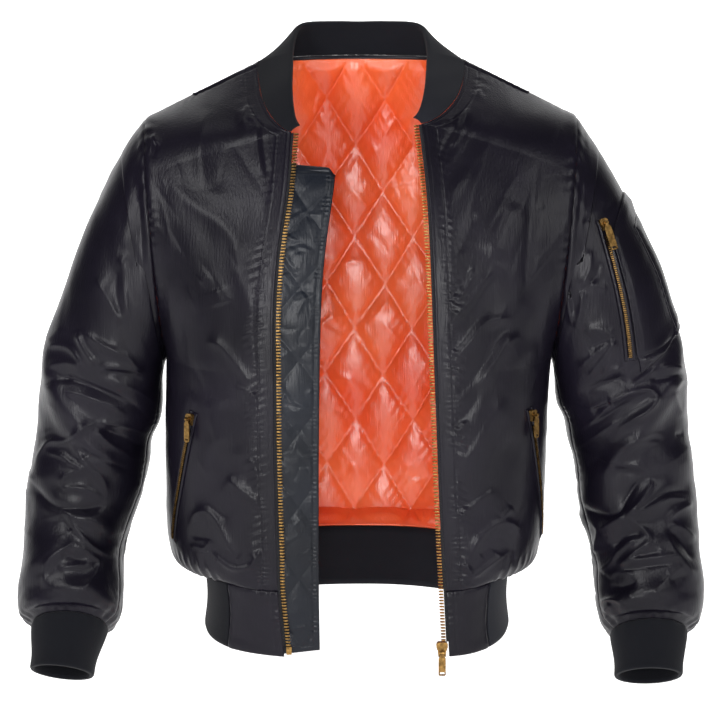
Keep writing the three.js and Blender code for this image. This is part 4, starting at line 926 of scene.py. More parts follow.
# Folds of the sleeves' front halves in the front view
SLEEVE_LINES = {
    "right": [
        (4.2, 3.5, 76, 330, 81, 343, 88, 355.5, 96.5, 367),
        (3.6, 3.5, 82.5, 331, 102, 345, 126, 355.5, 135, 364, 145, 371.5, 155, 374),
        (3.8, 3, 98, 367, 114, 367, 128, 368, 145, 371.5),
        (-4.4, 4, 100, 373, 116, 374, 130, 377, 148, 383),
        (2.8, 2.5, 113, 381, 130, 387, 142, 393, 153, 401, 160, 412),
        (2.8, 3, 45.5, 350, 57, 345, 72, 350, 84, 369.5),
        (2.4, 3, 84, 369.5, 67, 363, 45.5, 366),
        (-5.4, 4, 49, 369, 62, 375, 77, 381, 94, 388, 109, 395, 122, 401, 135, 406.5, 155, 426),
        (-2.2, 3, 42, 386, 52, 380, 71, 379),
        (3.6, 3.5, 62, 390, 88, 397, 110, 405, 128, 415),
        (3.8, 3, 96.5, 422, 122, 425, 151, 435),
        (-4.6, 3.5, 98, 428, 122, 437, 148, 450),
        (3.0, 3, 94, 428, 107, 441, 126, 453, 135, 464),
        (3.8, 3, 95, 424, 84, 427, 68.5, 440, 51, 442, 43, 451, 33, 468),
        (3.2, 3, 68.5, 440, 77, 452, 90, 468, 102, 479, 108, 496),
        (2.6, 3, 45.5, 451, 62, 456, 75, 465, 88, 468),
        (2.8, 3, 88, 469, 67, 475, 59.5, 487),
        (2.8, 3, 59.5, 487.5, 84, 489, 103, 498),
        (-3.4, 3, 74, 444, 88, 454, 109, 463, 132, 471),
        (-5.2, 4, 28, 479, 37, 492, 52, 505, 71, 508.6, 91, 508, 107, 503.5),
        (-2.6, 2.5, 60, 515, 72, 531),
        (3.4, 3, 64, 513, 79, 533, 97, 550, 119, 558),
        (2.8, 3, 73, 542, 50, 559, 45, 572, 44, 589),
        (2.8, 3, 73, 543, 90, 555, 99, 565, 82, 591),
        (2.0, 3, 57, 568, 96, 564),
        (-2.4, 3, 60, 553, 74, 557, 86, 562),
        (2.2, 4, 127, 250, 122, 265, 124, 290, 127, 322),
        (-2.0, 4, 118, 262, 116, 288, 121, 318),
        (2.4, 5, 95, 277, 108, 300, 123, 326),
        (1.2, 6, 128, 185, 126, 220, 123, 250),
        (-1.8, 5, 134, 170, 140, 200, 144, 265),
        (1.6, 7, 92, 195, 76, 255, 68, 305),
        (1.4, 4, 60, 325, 56, 335, 46, 342),
    ],
    "left": [
        (-2.6, 2, 583, 222, 590, 217, 600, 214, 617, 202),
        (1.6, 3, 582, 217, 598, 209, 613, 198),
        (3.0, 3, 560, 270, 567, 297, 572, 327),
        (2.8, 3, 572, 327, 577, 322, 581, 307, 582, 290),
        (-2.4, 3, 567, 278, 572, 300, 575, 316),
        (2.6, 3, 590, 247, 590, 270, 580, 288),
        (-2.2, 3, 600, 262, 596, 275, 591, 282),
        (2.0, 2.5, 591, 285, 600, 287, 608, 290),
        (3.0, 4, 583, 330, 600, 330, 615, 336),
        (-3.8, 5, 588, 349, 600, 344, 612, 341),
        (3.6, 2.5, 614.7, 337.5, 596, 353, 577, 367),
        (2.8, 2.5, 615, 338, 603, 358, 587, 377),
        (2.4, 2.5, 616, 339, 610, 357, 603, 375),
        (-6.6, 5, 570, 398, 590, 390, 617, 381, 640, 371, 657, 363),
        (3.6, 4, 600, 376, 625, 367, 653, 356, 674, 341),
        (-1.8, 1.5, 637, 357, 657, 350, 675, 337),
        (5.4, 3.5, 571, 402, 587, 407, 612, 400, 630, 392, 648, 390, 656, 398, 648, 410, 623, 425, 617, 433),
        (-5.0, 3, 592, 412, 602, 406, 612, 401),
        (-3.0, 2.5, 573, 441, 588, 429, 612, 413, 638, 398),
        (3.2, 2.5, 567.5, 447, 582, 444, 600, 432, 623, 418),
        (2.8, 2.5, 572, 434, 587, 424, 603, 412, 612, 403),
        (2.6, 2.5, 627, 387, 643, 377, 658, 367),
        (3.0, 2.5, 660, 370, 670, 366.5, 684, 369),
        (-3.6, 3, 650, 379, 667, 377, 683, 373),
        (2.8, 3, 674, 391, 684, 377),
        (1.8, 3, 673, 390, 678, 407, 683, 418),
        (1.5, 2, 617, 448, 635, 444, 652, 442.5, 662, 442.5),
        (1.5, 2.5, 625, 445, 645, 437, 658, 434, 664, 441),
        (-1.5, 2, 675, 435, 684, 433),
        (2.8, 3, 583, 461, 592.5, 455, 608, 461, 622, 465, 638, 466, 652, 473),
        (-3.4, 4, 587, 466, 597, 461, 608, 466),
        (-2.0, 4, 612, 471, 628, 472, 645, 476),
        (-4.4, 3, 582, 504, 595, 514, 608, 516, 620, 511, 628, 497, 637, 484, 648, 477),
        (3.6, 2.5, 626, 515, 639, 503, 649, 488, 652, 477),
        (-3.0, 3, 636, 513, 649, 504, 662, 495, 675, 491.5, 689, 491),
        (2.4, 3, 628, 514, 645, 509, 662, 501, 672, 497.5, 692, 499),
        (2.8, 2.5, 667.5, 523, 672, 515, 682, 508, 694, 502),
        (-3.0, 3, 668, 529, 677, 536, 687, 548, 694, 561),
        (2.6, 2.5, 668, 524, 683, 528, 696, 541),
        (2.2, 3, 664, 530, 674, 548, 686, 564, 696, 581),
        (2.8, 3, 587, 522, 595, 525, 598, 533, 595, 552, 593, 562),
        (2.8, 3, 598, 530, 612, 522, 625, 515),
        (3.4, 3, 625, 516, 638, 525, 649, 535, 648, 543, 635, 553, 623, 562, 617, 566),
        (-4.2, 5, 613, 549, 624, 536, 645, 533),
        (2.6, 3, 595, 572, 608, 565, 620, 550, 633, 540, 646, 538),
        (2.8, 3, 617, 565, 638, 560, 662, 557, 684, 555),
        (-2.6, 2.5, 618, 570, 638, 567.5, 662, 564, 678, 561),
        (-2.2, 2.5, 635, 556, 648, 554, 662, 551),
        (2.0, 2.5, 608, 580, 617, 572, 635, 575),
        (-2.2, 2.5, 608, 585, 620, 587, 637, 582),
        (2.6, 2.5, 597, 603, 612, 599, 622, 605, 618, 613),
        (1.8, 2.5, 604, 612, 612, 605),
        (1.4, 2.5, 657, 590, 658, 603),
        (1.4, 3, 628, 589, 632, 603),
        (1.4, 3, 667, 576, 684, 566),
        (-1.4, 3, 670, 582, 691, 573),
    ],
}
# A pillow of slack cloth on the left forearm: height, its middle and its half sizes in the front view
FOREARM_PILLOW = (4.0, 599, 489, 17, 24)
CUFF_GATHERS = 21
GATHER_HEIGHT = 1.4
SLEEVE_SEED = {"right": 51, "left": 67}


def sleeve_relief(side, t, angle):
    """The sleeve's folds beyond its main ones, placed by the front view, and the gathers over the cuff."""
    base = sleeve_point(side, t, angle)
    x, z = base[..., 0], base[..., 2]
    sign = SIGN[side]
    seed = SLEEVE_SEED[side]
    in_front = smooth(np.sin(angle) * 2.2 + 0.35)
    low = smooth((t - 0.3) / 0.25)
    front = drawn_folds(base, SLEEVE_LINES[side])
    if side == "left":
        u, v = front_view(base)
        height, mid_u, mid_v, half_u, half_v = FOREARM_PILLOW
        front = front + height * np.exp(-((u - mid_u) / half_u) ** 4 - ((v - mid_v) / half_v) ** 4)
    fine = scattered(seed, 30, sorted((sign * 250, sign * 400)), (-630, -330), (-40, 40), (12, 34), (2, 4),
                     (0.3, 0.9))
    front = front + low * ridges(x, z, fine)
    back = ridges(x, z, scattered(seed + 1, 26, sorted((sign * 240, sign * 400)), (-630, -300), (-40, 40),
                                  (30, 70), (4, 9), (1.2, 3.4)))
    back = back + ridges(x, z, scattered(seed + 2, 8, sorted((sign * 235, sign * 330)), (-300, -100),
                                         sorted((sign * 50, sign * 80)), (60, 110), (9, 13), (1, 2.4)))
    soft = slack(angle * 62, t * 600, seed, 90, 1.0)
    near_body = smooth((-np.cos(angle) - 0.35) / 0.5) * (1 - smooth((t - 0.45) / 0.2))
    rise = (front * in_front + back * (1 - in_front) + soft) * (1 - 0.8 * near_body)
    rise = rise * smooth(t / 0.06) * (1 - smooth((t - 0.965) / 0.03))
    gather = smooth((t - 0.9) / 0.05) * (1 - smooth((t - 0.98) / 0.02))
    wave = np.sin(CUFF_GATHERS * angle + 0.9 * np.sin(4 * angle)) * (0.6 + 0.4 * np.sin(5 * angle + 1))
    rise = rise + GATHER_HEIGHT * gather * wave
    if side == "left":
        away = np.abs(angle - sleeve_zip_angle(t)) * 75
        in_zip = smooth((t - 0.11) / 0.03) * (1 - smooth((t - 0.362) / 0.03))
        rise = rise * (1 - in_zip * (1 - smooth((away - 7) / 10)))
    return rise


def sleeve_zip_angle(t):
    top, low = SLEEVE_ZIP["top"], SLEEVE_ZIP["low"]
    k = np.clip((t - top[0]) / (low[0] - top[0]), 0, 1)
    return np.radians(mixed(top[1], low[1], k))


def sleeve_axis(side, t):
    return sleeve_frame(side, t)[0]


def dress_sleeve(side, part):
    start, end, cells, rows = UNDER_FROM, UNDER_TO, 72, 240
    if part == "top":
        start, end, cells, rows = UNDER_TO, UNDER_FROM + RING_STEPS, 159, 300
    angle, t = np.meshgrid(span(start, cells, end) * TWO_PI / RING_STEPS, span(0, rows, 1))
    wrapped = np.where(angle > math.pi, angle - TWO_PI, angle)
    rise = sleeve_relief(side, t, wrapped)
    base = sleeve_point(side, t, angle)
    outward = unit(base - sleeve_axis(side, t))
    first, last, at_top, at_cuff = edge_distance(base)
    at_seam = np.minimum(first, last)
    rise = rise * (0.6 + 0.4 * smooth(at_seam / 10))
    rise = rise + seam(at_seam, 0.5, 0.1) + puckers(at_seam, t * 600, 9, 14, 0.3, 14)
    rise = rise + seam(at_top, 1.2, 0.9) + puckers(at_top, angle * 85, 16, 17, 0.7, 15)
    rise = rise + seam(at_cuff, 1.2, 0.2)
    obj = cloth_wall(f"{side}_sleeve_{part}_panel", base, outward, rise, SHELL_THICK, NYLON)
    finish_piece(obj, "shell", f"sleeve_{side}_{part}")


def cuff_point(side, angle, k):
    """From the sleeve's last ring to the cuff's open end."""
    end = CUFF_END[side]
    middle0, half0, depth0 = sleeve_frame(side, np.ones_like(k))
    out = np.array([SIGN[side] * end["out_x"], end["y"], end["out_z"]])
    inn = np.array([SIGN[side] * end["in_x"], end["y"], end["in_z"]])
    middle1, half1 = (out + inn) / 2, (out - inn) / 2
    depth1 = unit(np.cross(half1, middle1 - middle0[0, 0]))
    depth1 = depth1 * (-end["depth"] if depth1[1] > 0 else end["depth"])
    blend = smooth(k * 1.2)[..., None]
    middle = mixed(middle0, middle1, k[..., None])
    half, depth = mixed(half0, half1, blend), mixed(depth0, depth1, blend)
    return middle + half * np.cos(angle)[..., None] + depth * np.sin(angle)[..., None], middle


def dress_cuff(side):
    angle, k = np.meshgrid(np.arange(192) * TWO_PI / 192, span(0, 36, 1))
    base, middle = cuff_point(side, angle, k)
    outward = unit(base - middle)
    edge = np.minimum(k, 1 - k) * 70
    rise = -1.3 * np.exp(-(edge / 1.6) ** 2) + 0.5 * np.sin(3 * angle + 2 * k) * np.sin(math.pi * k)
    rise = rise + 0.5 * np.sin(14 * angle + np.sin(3 * angle)) * np.exp(-k / 0.15)
    obj = cloth_wall(f"{side}_rib_cuff", base, outward, rise, RIB_THICK, RIB, closed=True)
    finish_piece(obj, "rib", f"cuff_{side}")


def collar_point(side, t, h):
    base = neckline(side, t)
    shift = 8 * (1 - np.clip(t, 0, 1)) if side == "left" else 0
    top = vec(SIGN[side] * along(COLLAR_TOP, t, "x") - shift, along(COLLAR_TOP, t, "y"),
              along(COLLAR_TOP, t, "z") + shift)
    out = unit(base * np.array([1, 1, 0]))
    bulge = COLLAR_BULGE * 4 * h * (1 - h) * smooth(t * 2)
    return mixed(base, top, h[..., None]) + out * bulge[..., None]


def dress_collar():
    t, h = np.meshgrid(span(0, 150, 2), span(0, 30, 1))
    right = collar_point("right", t, h)
    left = collar_point("left", t, h)[:, -2::-1]
    base = np.concatenate([right, left], 1)
    normals = normals_of(base, (0, 0, 30))
    first, last, at_seam, at_top = edge_distance(base)
    rise = -1.4 * np.exp(-(at_top / 1.8) ** 2) - 0.6 * np.exp(-(np.minimum(first, last) / 2) ** 2)
    rise = rise - 0.3 * np.exp(-(at_seam / 1.5) ** 2)
    rise = rise + 0.35 * np.sin(first / 31) * np.sin(at_top / 14)
    rise = rise + 0.25 * np.sin(first / 9 + np.sin(first / 40))
    obj = cloth_wall("rib_collar", base, normals, rise, RIB_THICK, RIB)
    finish_piece(obj, "rib", "collar")


def band_point(top, k, share, side):
    """The band hangs from the body's lowest line; its front ends are drawn to the zip over the hem panel."""
    behind = np.clip((top[..., 1] + 130) / 250, 0, 1)
    low = top * np.array([1, 0.985, 1]) - vec(0, 0, mixed(BAND_HEIGHT + 5, BAND_HEIGHT + 2, behind))
    p = mixed(top, low, k[..., None])
    p[..., 0] *= 1 - 0.02 * np.sin(math.pi * k)
    if side:
        end = zip_point(side, np.zeros_like(k), ZIP_SETBACK)[..., 0] * (1 - 0.02 * np.sin(math.pi * k))
        shift = zip_point(side, mixed(0.0, ZIP_LINE["t"][0], k), ZIP_SETBACK)[..., 0] - end
        p[..., 0] += shift * share
    return p


def dress_waistband():
    front = span(HEM_PANEL_SHARE, 54, 1)
    back = span(-1, 252, 1)
    zero = np.zeros
    top = np.concatenate([front_point("right", front, zero(front.shape))[:-1],
                          back_point(back, zero(back.shape)),
                          front_point("left", front[::-1], zero(front.shape))[1:]])
    k = span(0, 27, 1)
    grid_top = np.broadcast_to(top, (len(k), *top.shape))
    grid_k = np.broadcast_to(k[:, None], (len(k), len(top)))
    base = band_point(grid_top, grid_k, 0, None)
    normals = unit(normals_of(base, (0, 0, -610)) * np.array([1, 1, 0]))
    first, last, at_seam, at_hem = edge_distance(base)
    rise = -1.4 * np.exp(-(at_hem / 1.8) ** 2) - 0.8 * np.exp(-(at_seam / 2) ** 2)
    rise = rise + 0.5 * np.sin(first / 27 + np.sin(first / 61))
    rise = rise + 0.35 * np.sin(first / 8) * np.exp(-at_seam / 15)
    obj = cloth_wall("rib_waistband", base, normals, rise, RIB_THICK, RIB)
    finish_piece(obj, "rib", "waistband_rib")


def dress_hem_panel(side):
    s, k = np.meshgrid(span(0, 60, HEM_PANEL_SHARE), span(0, 42, 1))
    base = band_point(front_point(side, s, np.zeros_like(s)), k, 1 - s / HEM_PANEL_SHARE, side)
    normals = unit(normals_of(base, (0, 0, -610)) * np.array([1, 1, 0]))
    at_zip, at_rib, at_seam, at_hem = edge_distance(base)
    x, z = base[..., 0], base[..., 2]
    rise = slack(x, z, 3, 60, 0.7) + seam(at_rib, 0.9, 0.5) + seam(at_seam, 0.8, 0.4) + seam(at_hem, 0.7, 0.3)
    rise = rise + puckers(at_zip, z, 9, 8, 0.5, 71) - 0.5 * np.exp(-((at_zip - 9) / 1.2) ** 2)
    rise = rise + puckers(at_seam, x, 12, 12, 0.5, 73)
    obj = cloth_wall(f"{side}_hem_panel", base, normals, rise, SHELL_THICK, NYLON)
    finish_piece(obj, "shell", f"hem_panel_{side}")


# The quilted lining

LINING_OFFSET = SHELL_THICK + 0.6
LINING_HEM_INSET = 5
LINING_LOW = 0.1
DIAMOND_WIDTH = 71
DIAMOND_HEIGHT = 112
DIAMOND_START = (29.4, -251)
PILLOW_RISE = 8.0
LINING_INSET = 2.0
CRINKLE_AREA = 1100


def lining_base(surface, s, v):
    """The lining's plain side: behind the shell, and below the blouse straight to the waistband's seam."""
    high = surface(s, np.maximum(v, LINING_LOW))
    inward = -normals_of(high, INSIDE)
    steady = inward[np.argmax(v[:, 0] >= LINING_LOW)]
    face = high + inward * LINING_OFFSET
    start = surface(s, np.zeros_like(v))
    hem = start - unit(start * np.array([1, 1, 0])) * LINING_HEM_INSET
    k = np.clip(mixed(0.05, 1, v / LINING_LOW), 0, 1)[..., None]
    corner = surface(s, np.full_like(v, LINING_LOW)) + steady * LINING_OFFSET
    return np.where((v < LINING_LOW)[..., None], mixed(hem, corner, k), face)


def quilt(x, z, rise, seed):
    """Pillows between two crossing sets of slanted stitch lines, with wrinkles square to each line."""
    x, z = x - DIAMOND_START[0] + 1.5 * np.sin(z / 31), z - DIAMOND_START[1] + 1.5 * np.sin(x / 23)
    p, q = x / DIAMOND_WIDTH + z / DIAMOND_HEIGHT, x / DIAMOND_WIDTH - z / DIAMOND_HEIGHT
    near_p, near_q = np.abs(np.sin(math.pi * p)), np.abs(np.sin(math.pi * q))
    pillow = (near_p * near_q) ** 0.42
    pinch = np.exp(-near_p / 0.4) * np.sin(TWO_PI * q * 5 + 2 * np.sin(q * 7 + seed))
    pinch = pinch + np.exp(-near_q / 0.4) * np.sin(TWO_PI * p * 5 + 2 * np.sin(p * 7 + seed))
    area = (x.max() - x.min()) * (z.max() - z.min())
    rows = scattered(seed, int(area / CRINKLE_AREA), (x.min(), x.max()), (z.min(), z.max()), (-80, 80),
                     (12, 38), (2, 4.5), (0.7, 2.0))
    body = ridges(x, z, rows)
    return rise * pillow + 0.9 * pinch * (near_p * near_q) ** 0.35 + body * pillow


def drawn_in(points, inset):
    """Brings the borders inwards, so that nothing shows through the shell's seams."""
    p = points.copy()
    for edge, following in ((np.s_[-1], np.s_[-2]), (np.s_[:, 0], np.s_[:, 1]), (np.s_[:, -1], np.s_[:, -2])):
        step = points[following] - points[edge]
        p[edge] += unit(step) * np.minimum(inset, 0.8 * np.linalg.norm(step, axis=-1, keepdims=True))
    return p


def dress_lining(name, surface, s_line, rows, top, seed, *nodes):
    s, v = np.meshgrid(s_line, span(0, 15, LINING_LOW, rows, top))
    base = lining_base(surface, s, v)
    inward = -normals_of(base, INSIDE)
    first, last, low, high = edge_distance(base)
    border = smooth(np.minimum(np.minimum(first, last), np.minimum(low, high)) / 14)
    base = drawn_in(base, LINING_INSET)
    rise = LINING_THICK + quilt(base[..., 0], base[..., 2], PILLOW_RISE, seed) * border
    plain = np.full(rise.shape, LINING_THICK)
    obj = cloth_wall(name, base, inward, rise, LINING_THICK, LINING, back_height=plain)
    finish_piece(obj, "lining", *nodes)


# Zips


def behind_edge(side, t, away, depth):
    """A point beside the zip's middle and behind the front's face; under the panel it follows the panel."""
    t = np.asarray(t, float)
    p = zip_point(side, t, away)
    if away > ZIP_SETBACK:
        p = np.where((t > 0)[..., None], front_point(side, np.full_like(t, 0.05), np.maximum(t, 0)), p)
    slope = zip_point(side, np.minimum(t + 0.02, NECK_START), 0) - zip_point(side, t - 0.02, 0)
    back = unit(vec(0, slope[..., 2], -slope[..., 1]))
    return p + back * depth


TOOTH_PITCH = 3.5
TOOTH_LENGTH = 5.2
TOOTH_HEIGHT = 2.1


def even_places(line, t, pitch):
    """Values of t at even distances along a line of points."""
    length = np.concatenate([[0], np.cumsum(np.linalg.norm(np.diff(line, axis=0), axis=1))])
    count = int(length[-1] / pitch)
    return np.interp((np.arange(count) + 0.5) * length[-1] / count, length, t)


TOOTH = np.array([
    (-0.5, -0.36, -0.42), (-0.5, 0.36, -0.42), (-0.5, 0.36, 0.42), (-0.5, -0.36, 0.42),
    (0.18, -0.36, -0.5), (0.18, 0.36, -0.5), (0.18, 0.36, 0.5), (0.18, -0.36, 0.5),
    (0.5, -0.22, -0.34), (0.5, 0.22, -0.34), (0.5, 0.22, 0.34), (0.5, -0.22, 0.34),
])
TOOTH_FACES = np.array([
    (0, 3, 2, 1), (8, 9, 10, 11),
    (0, 1, 5, 4), (1, 2, 6, 5), (2, 3, 7, 6), (3, 0, 4, 7),
    (4, 5, 9, 8), (5, 6, 10, 9), (6, 7, 11, 10), (7, 4, 8, 11),
])


def repeated(name, shape, faces, origins, across, up, away, size, material):
    """One small shape at many places: its three coordinates are laid along across, up and away."""
    local = shape * np.array(size)
    axes = np.stack([across, up, away], 1)
    points = origins[:, None] + np.einsum("vk,nkc->nvc", local, axes)
    many = (faces[None] + np.arange(len(origins))[:, None, None] * len(shape)).reshape(-1, faces.shape[1])
    if np.linalg.det(axes[0]) < 0:
        many = many[:, ::-1]
    return new_object(name, points.reshape(-1, 3), many.tolist(), None, material, 0)


def dress_main_zip(side, lowest):
    """The tape's strip and, along its edge, a row of teeth."""
    t = span(lowest, 300, NECK_START)
    rows = np.stack([behind_edge(side, t, TEETH_WIDTH / 2 + SOLID_GAP, TAPE_DEPTH),
                     behind_edge(side, t, ZIP_SETBACK + 3, TAPE_DEPTH + 0.1),
                     behind_edge(side, t, ZIP_SETBACK + 6, TAPE_DEPTH + 0.3),
                     behind_edge(side, t, ZIP_SETBACK + 9, TAPE_DEPTH + 0.4)], 1)
    obj = cloth_wall(f"{side}_zip_tape", rows, normals_of(rows, INSIDE), 0.0, TAPE_THICK, TAPE)
    finish_piece(obj, "tape", f"zip_tape_{side}")
    fine = np.linspace(lowest, NECK_START, 2000)
    t = even_places(zip_point(side, fine, 0), fine, TOOTH_PITCH)
    middle = behind_edge(side, t, 0.0, TEETH_FRONT + TEETH_THICK / 2)
    up = unit(zip_point(side, np.minimum(t + 0.01, NECK_START), 0) - zip_point(side, t - 0.01, 0))
    inward_x = np.broadcast_to([-SIGN[side], 0.0, 0.0], up.shape)
    away = unit(np.cross(inward_x, up)) * SIGN[side]
    away = away * np.sign(-away[:, 1:2])
    teeth = repeated(f"{side}_zip_teeth", TOOTH, TOOTH_FACES, middle, inward_x, up, away,
                     (TOOTH_LENGTH, TOOTH_HEIGHT, TEETH_THICK), BRASS)
    finish_piece(teeth, "brass", f"zip_teeth_{side}")


FLAP_DIAMOND = (64, 82)
FLAP_DIAMOND_START = (33, -239)


def flap_point(k, t):
    """From the tape (k 0) to the free edge (k 1), easing back behind the zip; the top corner is cut off."""
    root = behind_edge("right", t, ZIP_SETBACK, FLAP_DEPTH)
    root[..., 0] = zip_point("right", t, ZIP_SETBACK + FLAP_ROOT)[..., 0]
    edge = vec(along(FLAP_EDGE, t, "x"), along(FLAP_EDGE, t, "y"), along(FLAP_EDGE, t, "z"))
    p = mixed(root, edge, k[..., None])
    p[..., 1] = mixed(root[..., 1], edge[..., 1], smooth((k - 0.25) / 0.75))
    p[..., 2] -= 8 * smooth((t - 0.725) / 0.025) * smooth((k - 0.8) / 0.2) ** 2
    return p


def dress_flap():
    k, t = np.meshgrid(span(0, 48, 1), span(-0.12, 390, FLAP_TOP))
    base = flap_point(k, t)
    outward = normals_of(base, INSIDE)
    x, z = arc(base, 1)[None] + 0 * k, base[..., 2]
    _, at_edge, low, high = edge_distance(base)
    border = np.minimum(at_edge, np.minimum(low, high))
    across = (x - FLAP_DIAMOND_START[0]) / FLAP_DIAMOND[0]
    down = (z - FLAP_DIAMOND_START[1]) / FLAP_DIAMOND[1]
    pillow = (np.abs(np.sin(math.pi * (across + down))) * np.abs(np.sin(math.pi * (across - down)))) ** 0.45
    folds = ridges(x, z, scattered(91, 120, (0, 50), (-650, -110), (-70, 70), (8, 24), (1.5, 3), (0.5, 1.3)))
    inside = smooth((border - 5) / 5)
    rise = (2.8 * pillow - 1.0 + folds * 0.8) * inside - 0.6 * np.exp(-((border - 6.5) / 0.9) ** 2)
    rise = rise + puckers(border - 6, z, 5, 4.8, 0.55, 92)
    rise = rise * smooth((x - 8) / 6) - 0.8 * np.exp(-(border / 1.2) ** 2)
    obj = cloth_wall("quilted_wind_flap", base, outward, rise, FLAP_THICK, FLAP_NYLON)
    finish_piece(obj, "shell", "wind_flap")


# Strips that lie along a line on the cloth: welts with two lips, and small teeth between them


SMALL_TOOTH = (4.2, 1.7, 1.9)
SMALL_TOOTH_PITCH = 2.3
SMALL_TOOTH_LIFT = 1.9
WELT_HALF_WIDTH = 6.5
WELT_LENGTH = 150
WELT_BASE = 0.9


def strip_frames(point, k, across):
    origin = point(k)
    down = unit(point(k + 0.01) - point(k - 0.01))
    away = unit(np.cross(down, across(k)))
    return origin, down, away, np.cross(away, down)


def dress_strip_zip(name, point, across, lift, teeth_span, nodes):
    """A welt's two rounded lips beside a channel, and a row of teeth raised in the channel."""
    k = span(0, 90, 1)
    origin, down, away, side = strip_frames(point, k, across)
    w = span(-WELT_HALF_WIDTH, 18, WELT_HALF_WIDTH)
    lips = 1.0 + 1.1 * np.exp(-((np.abs(w) - 4.4) / 1.3) ** 2) - 0.4 * np.exp(-(w / 2.0) ** 2)
    ends = np.minimum(k, 1 - k) * WELT_LENGTH
    wave = np.sin(k * WELT_LENGTH / 1.6 + np.sin(k * 40))
    pucker = 0.18 * wave[:, None] * np.exp(-((np.abs(w) - 5) / 2) ** 2)
    base = origin[:, None] + side[:, None] * w[:, None] + away[:, None] * lift
    height = lips[None] * (0.45 + 0.55 * smooth(ends / 4))[:, None] + pucker
    outward = np.broadcast_to(away[:, None], base.shape)
    plain = np.full(height.shape, WELT_BASE)
    obj = cloth_wall(f"{name}_zip_welt", base, outward, height, WELT_BASE, NYLON, back_height=plain)
    finish_piece(obj, "shell", nodes[0])
    fine = np.linspace(*teeth_span, 1500)
    places = even_places(point(fine), fine, SMALL_TOOTH_PITCH)
    origin, down, away, side = strip_frames(point, places, across)
    middle = origin + away * (lift + SMALL_TOOTH_LIFT)
    teeth = repeated(f"{name}_zip_teeth", TOOTH, TOOTH_FACES, middle, side, -down, away, SMALL_TOOTH, BRASS)
    finish_piece(teeth, "brass", nodes[1])


def dress_pocket(side, lift):
    line = POCKET_LINE[side]

    def point(k, step=0.0):
        s = mixed(line["top"][0], line["low"][0], k) + step
        return front_point(side, s, mixed(line["top"][1], line["low"][1], k))

    def across(k):
        return (point(k, 0.02) - point(k, -0.02)) * SIGN[side]

    dress_strip_zip(f"{side}_pocket", point, across, lift, (0.12, 0.98),
                    (f"pocket_welt_{side}", f"pocket_teeth_{side}"))


def dress_sleeve_zip(lift):
    top, low = SLEEVE_ZIP["top"], SLEEVE_ZIP["low"]

    def point(k, turn=0.0):
        angle = np.radians(mixed(top[1], low[1], k) + turn)
        return sleeve_point("left", mixed(top[0], low[0], k), angle)

    def across(k):
        return point(k, -3) - point(k, 3)

    dress_strip_zip("left_sleeve", point, across, lift, (0.13, 0.98), ("sleeve_zip_welt", "sleeve_zip_teeth"))


SLEEVE_ROWS = 26
ZIP_CLEAR_TURN = math.radians(6.5)


def dress_patch(name, node_name, rows, columns, lift, seed, beside_zip=False):
    """A patch on the sleeve: the sleeve's own folds, moved out, with a stitched and puckered border."""
    k, t = np.meshgrid(span(0, 75, 1), span(rows[0], 90, rows[1]) / SLEEVE_ROWS)
    first, last = np.array(columns) * TWO_PI / RING_STEPS
    if beside_zip:
        last = sleeve_zip_angle(t) - ZIP_CLEAR_TURN
    angle = mixed(first, last, k)
    base = sleeve_point("left", t, angle)
    outward = normals_of(base, sleeve_axis("left", np.float64(rows[0] / SLEEVE_ROWS)))
    first, last, top, low = edge_distance(base)
    border = np.minimum(np.minimum(first, last), np.minimum(top, low))
    rise = sleeve_relief("left", t, angle) + lift + PATCH_THICK
    rise = rise + 1.2 * smooth((border - 3) / 10) - 0.4 * np.exp(-((border - 4) / 0.9) ** 2)
    rise = rise + puckers(border, base[..., 2], 8, 8, 0.35, seed) - 0.6 * np.exp(-(border / 0.9) ** 2)
    obj = cloth_wall(name, base, outward, rise, PATCH_THICK + 0.6, NYLON)
    finish_piece(obj, "shell", node_name)


# Build

for each_side in ("left", "right"):
    dress_front(each_side)
    for each_part in ("top", "under"):
        dress_sleeve(each_side, each_part)
    dress_cuff(each_side)
    dress_hem_panel(each_side)
dress_back()
dress_collar()
dress_waistband()
dress_lining("quilted_back_lining", back_point, span(-1, 30, -0.5, 180, 0.5, 30, 1), 222, 0.995, 7,
             "lining_back")
for each_side, seed in (("left", 8), ("right", 9)):
    def panel(s, v, of=each_side):
        return front_point(of, s, v)
    dress_lining(f"quilted_{each_side}_lining", panel, span(0.2, 75, 1), 165, 0.95, seed,
                 f"lining_front_{each_side}")
dress_main_zip("right", RIGHT_ZIP_END)
dress_main_zip("left", LEFT_ZIP_END)
dress_flap()
dress_pocket("right", 1.2)
dress_pocket("left", 0.8)
dress_sleeve_zip(0.9)
dress_patch("sleeve_patch_pocket", "sleeve_pocket", (5, 10), (-2, 3), 0.5, 81, beside_zip=True)
dress_patch("sleeve_pen_pocket", "pen_pocket", (6, 10), (-1, 2), 2.3, 83)
for name, cad_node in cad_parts.items():
    if name.endswith(("_slider", "_pull", "_pin")):
        cad_node.data.materials.clear()
        cad_node.data.materials.append(BRASS)


# Stage, light and camera

# The sweep and the lamps are in metres
FLOOR_Z = -0.722
SWEEP_FRONT = -6.0
SWEEP_REACH = 4.0
SWEEP_RADIUS = 1.5
SWEEP_HEIGHT = 8.0
SWEEP_HALF_WIDTH = 7
SWEEP_GLOW = 0.72
ROOM_GLOW = 0.06
MIDDLE = (0, 0, -0.3)
# Each lamp's place, what it points at, its width and height, and its power in watts
LAMPS = {
    "key": ((-1.7, -2.6, 1.2), MIDDLE, (1.1, 1.7), 50),
    "fill": ((2.0, -2.4, 0.7), MIDDLE, (1.0, 1.6), 24),
    "front": ((0.0, -3.0, 0.1), MIDDLE, (0.6, 0.6), 34),
    "top": ((0, -0.2, 2.6), MIDDLE, (2.0, 1.0), 8),
    "paper": ((0, 2.4, 3.0), (0, 4.5, 0.4), (5.0, 2.0), 110),
}


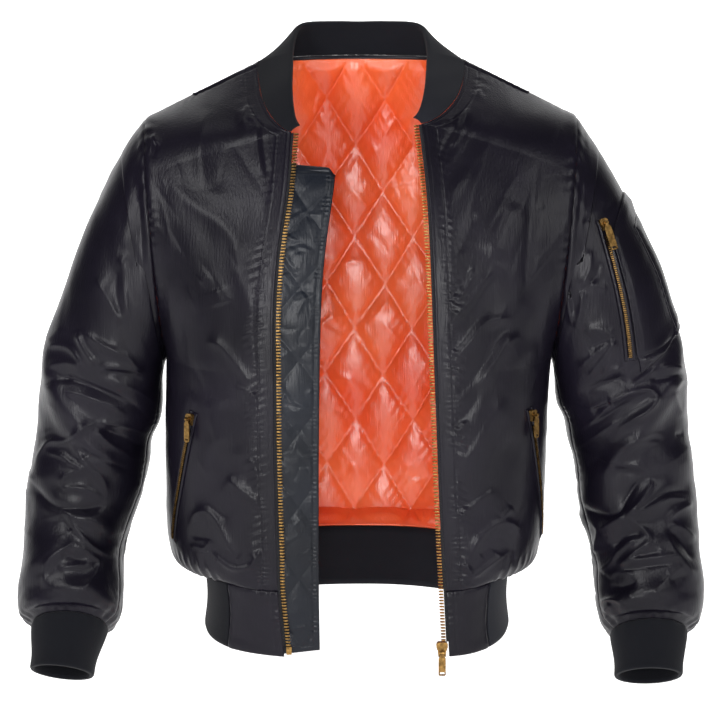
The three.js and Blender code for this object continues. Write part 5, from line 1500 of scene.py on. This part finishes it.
def backdrop():
    """A floor of white acrylic, lit a little from below, that rises behind in a quarter circle."""
    turn = np.linspace(0, math.pi / 2, 24)
    bend_y, bend_z = SWEEP_RADIUS * np.sin(turn), SWEEP_RADIUS - SWEEP_RADIUS * np.cos(turn)
    y = np.concatenate([[SWEEP_FRONT], SWEEP_REACH + bend_y, [SWEEP_REACH + SWEEP_RADIUS]])
    z = np.concatenate([[0.0], bend_z, [SWEEP_HEIGHT]]) + FLOOR_Z
    x = np.linspace(-SWEEP_HALF_WIDTH, SWEEP_HALF_WIDTH, 3)
    points = vec(x[None], y[:, None], z[:, None])
    quads = grid_quads(len(y), len(x), len(x))
    material, tree, shader = new_material("white_acrylic_sweep")
    shader.inputs["Base Color"].default_value = linear("fafafa")
    shader.inputs["Roughness"].default_value = 0.9
    shader.inputs["Emission Color"].default_value = linear("ffffff")
    shader.inputs["Emission Strength"].default_value = SWEEP_GLOW
    sweep = new_object("acrylic_sweep", points.reshape(-1, 3) / MM, quads.tolist(), None, material)


def soft_light(name, place, target, size, power):
    light = bpy.data.lights.new(name, "AREA")
    light.shape = "RECTANGLE"
    light.size, light.size_y = size
    light.energy = power
    obj = bpy.data.objects.new(name, light)
    bpy.context.scene.collection.objects.link(obj)
    obj.location = place
    obj.rotation_euler = (Vector(target) - Vector(place)).to_track_quat("-Z", "Y").to_euler()


backdrop()
for lamp, settings in LAMPS.items():
    soft_light(lamp, *settings)
world = bpy.data.worlds.new("studio")
world.use_nodes = True
world.node_tree.nodes["Background"].inputs[0].default_value = linear("ffffff")
world.node_tree.nodes["Background"].inputs[1].default_value = ROOM_GLOW
bpy.context.scene.world = world
bpy.context.scene.view_settings.view_transform = "Standard"

camera = bpy.data.objects.new("camera", bpy.data.cameras.new("camera"))
bpy.context.scene.collection.objects.link(camera)
camera.data.lens = CAMERA_LENS
camera.data.sensor_width = FILM_WIDTH
camera.location = CAMERA_PLACE * MM
camera.rotation_euler = (math.pi / 2 - CAMERA_TILT, 0, 0)
camera.data.clip_end = 60
bpy.context.scene.camera = camera
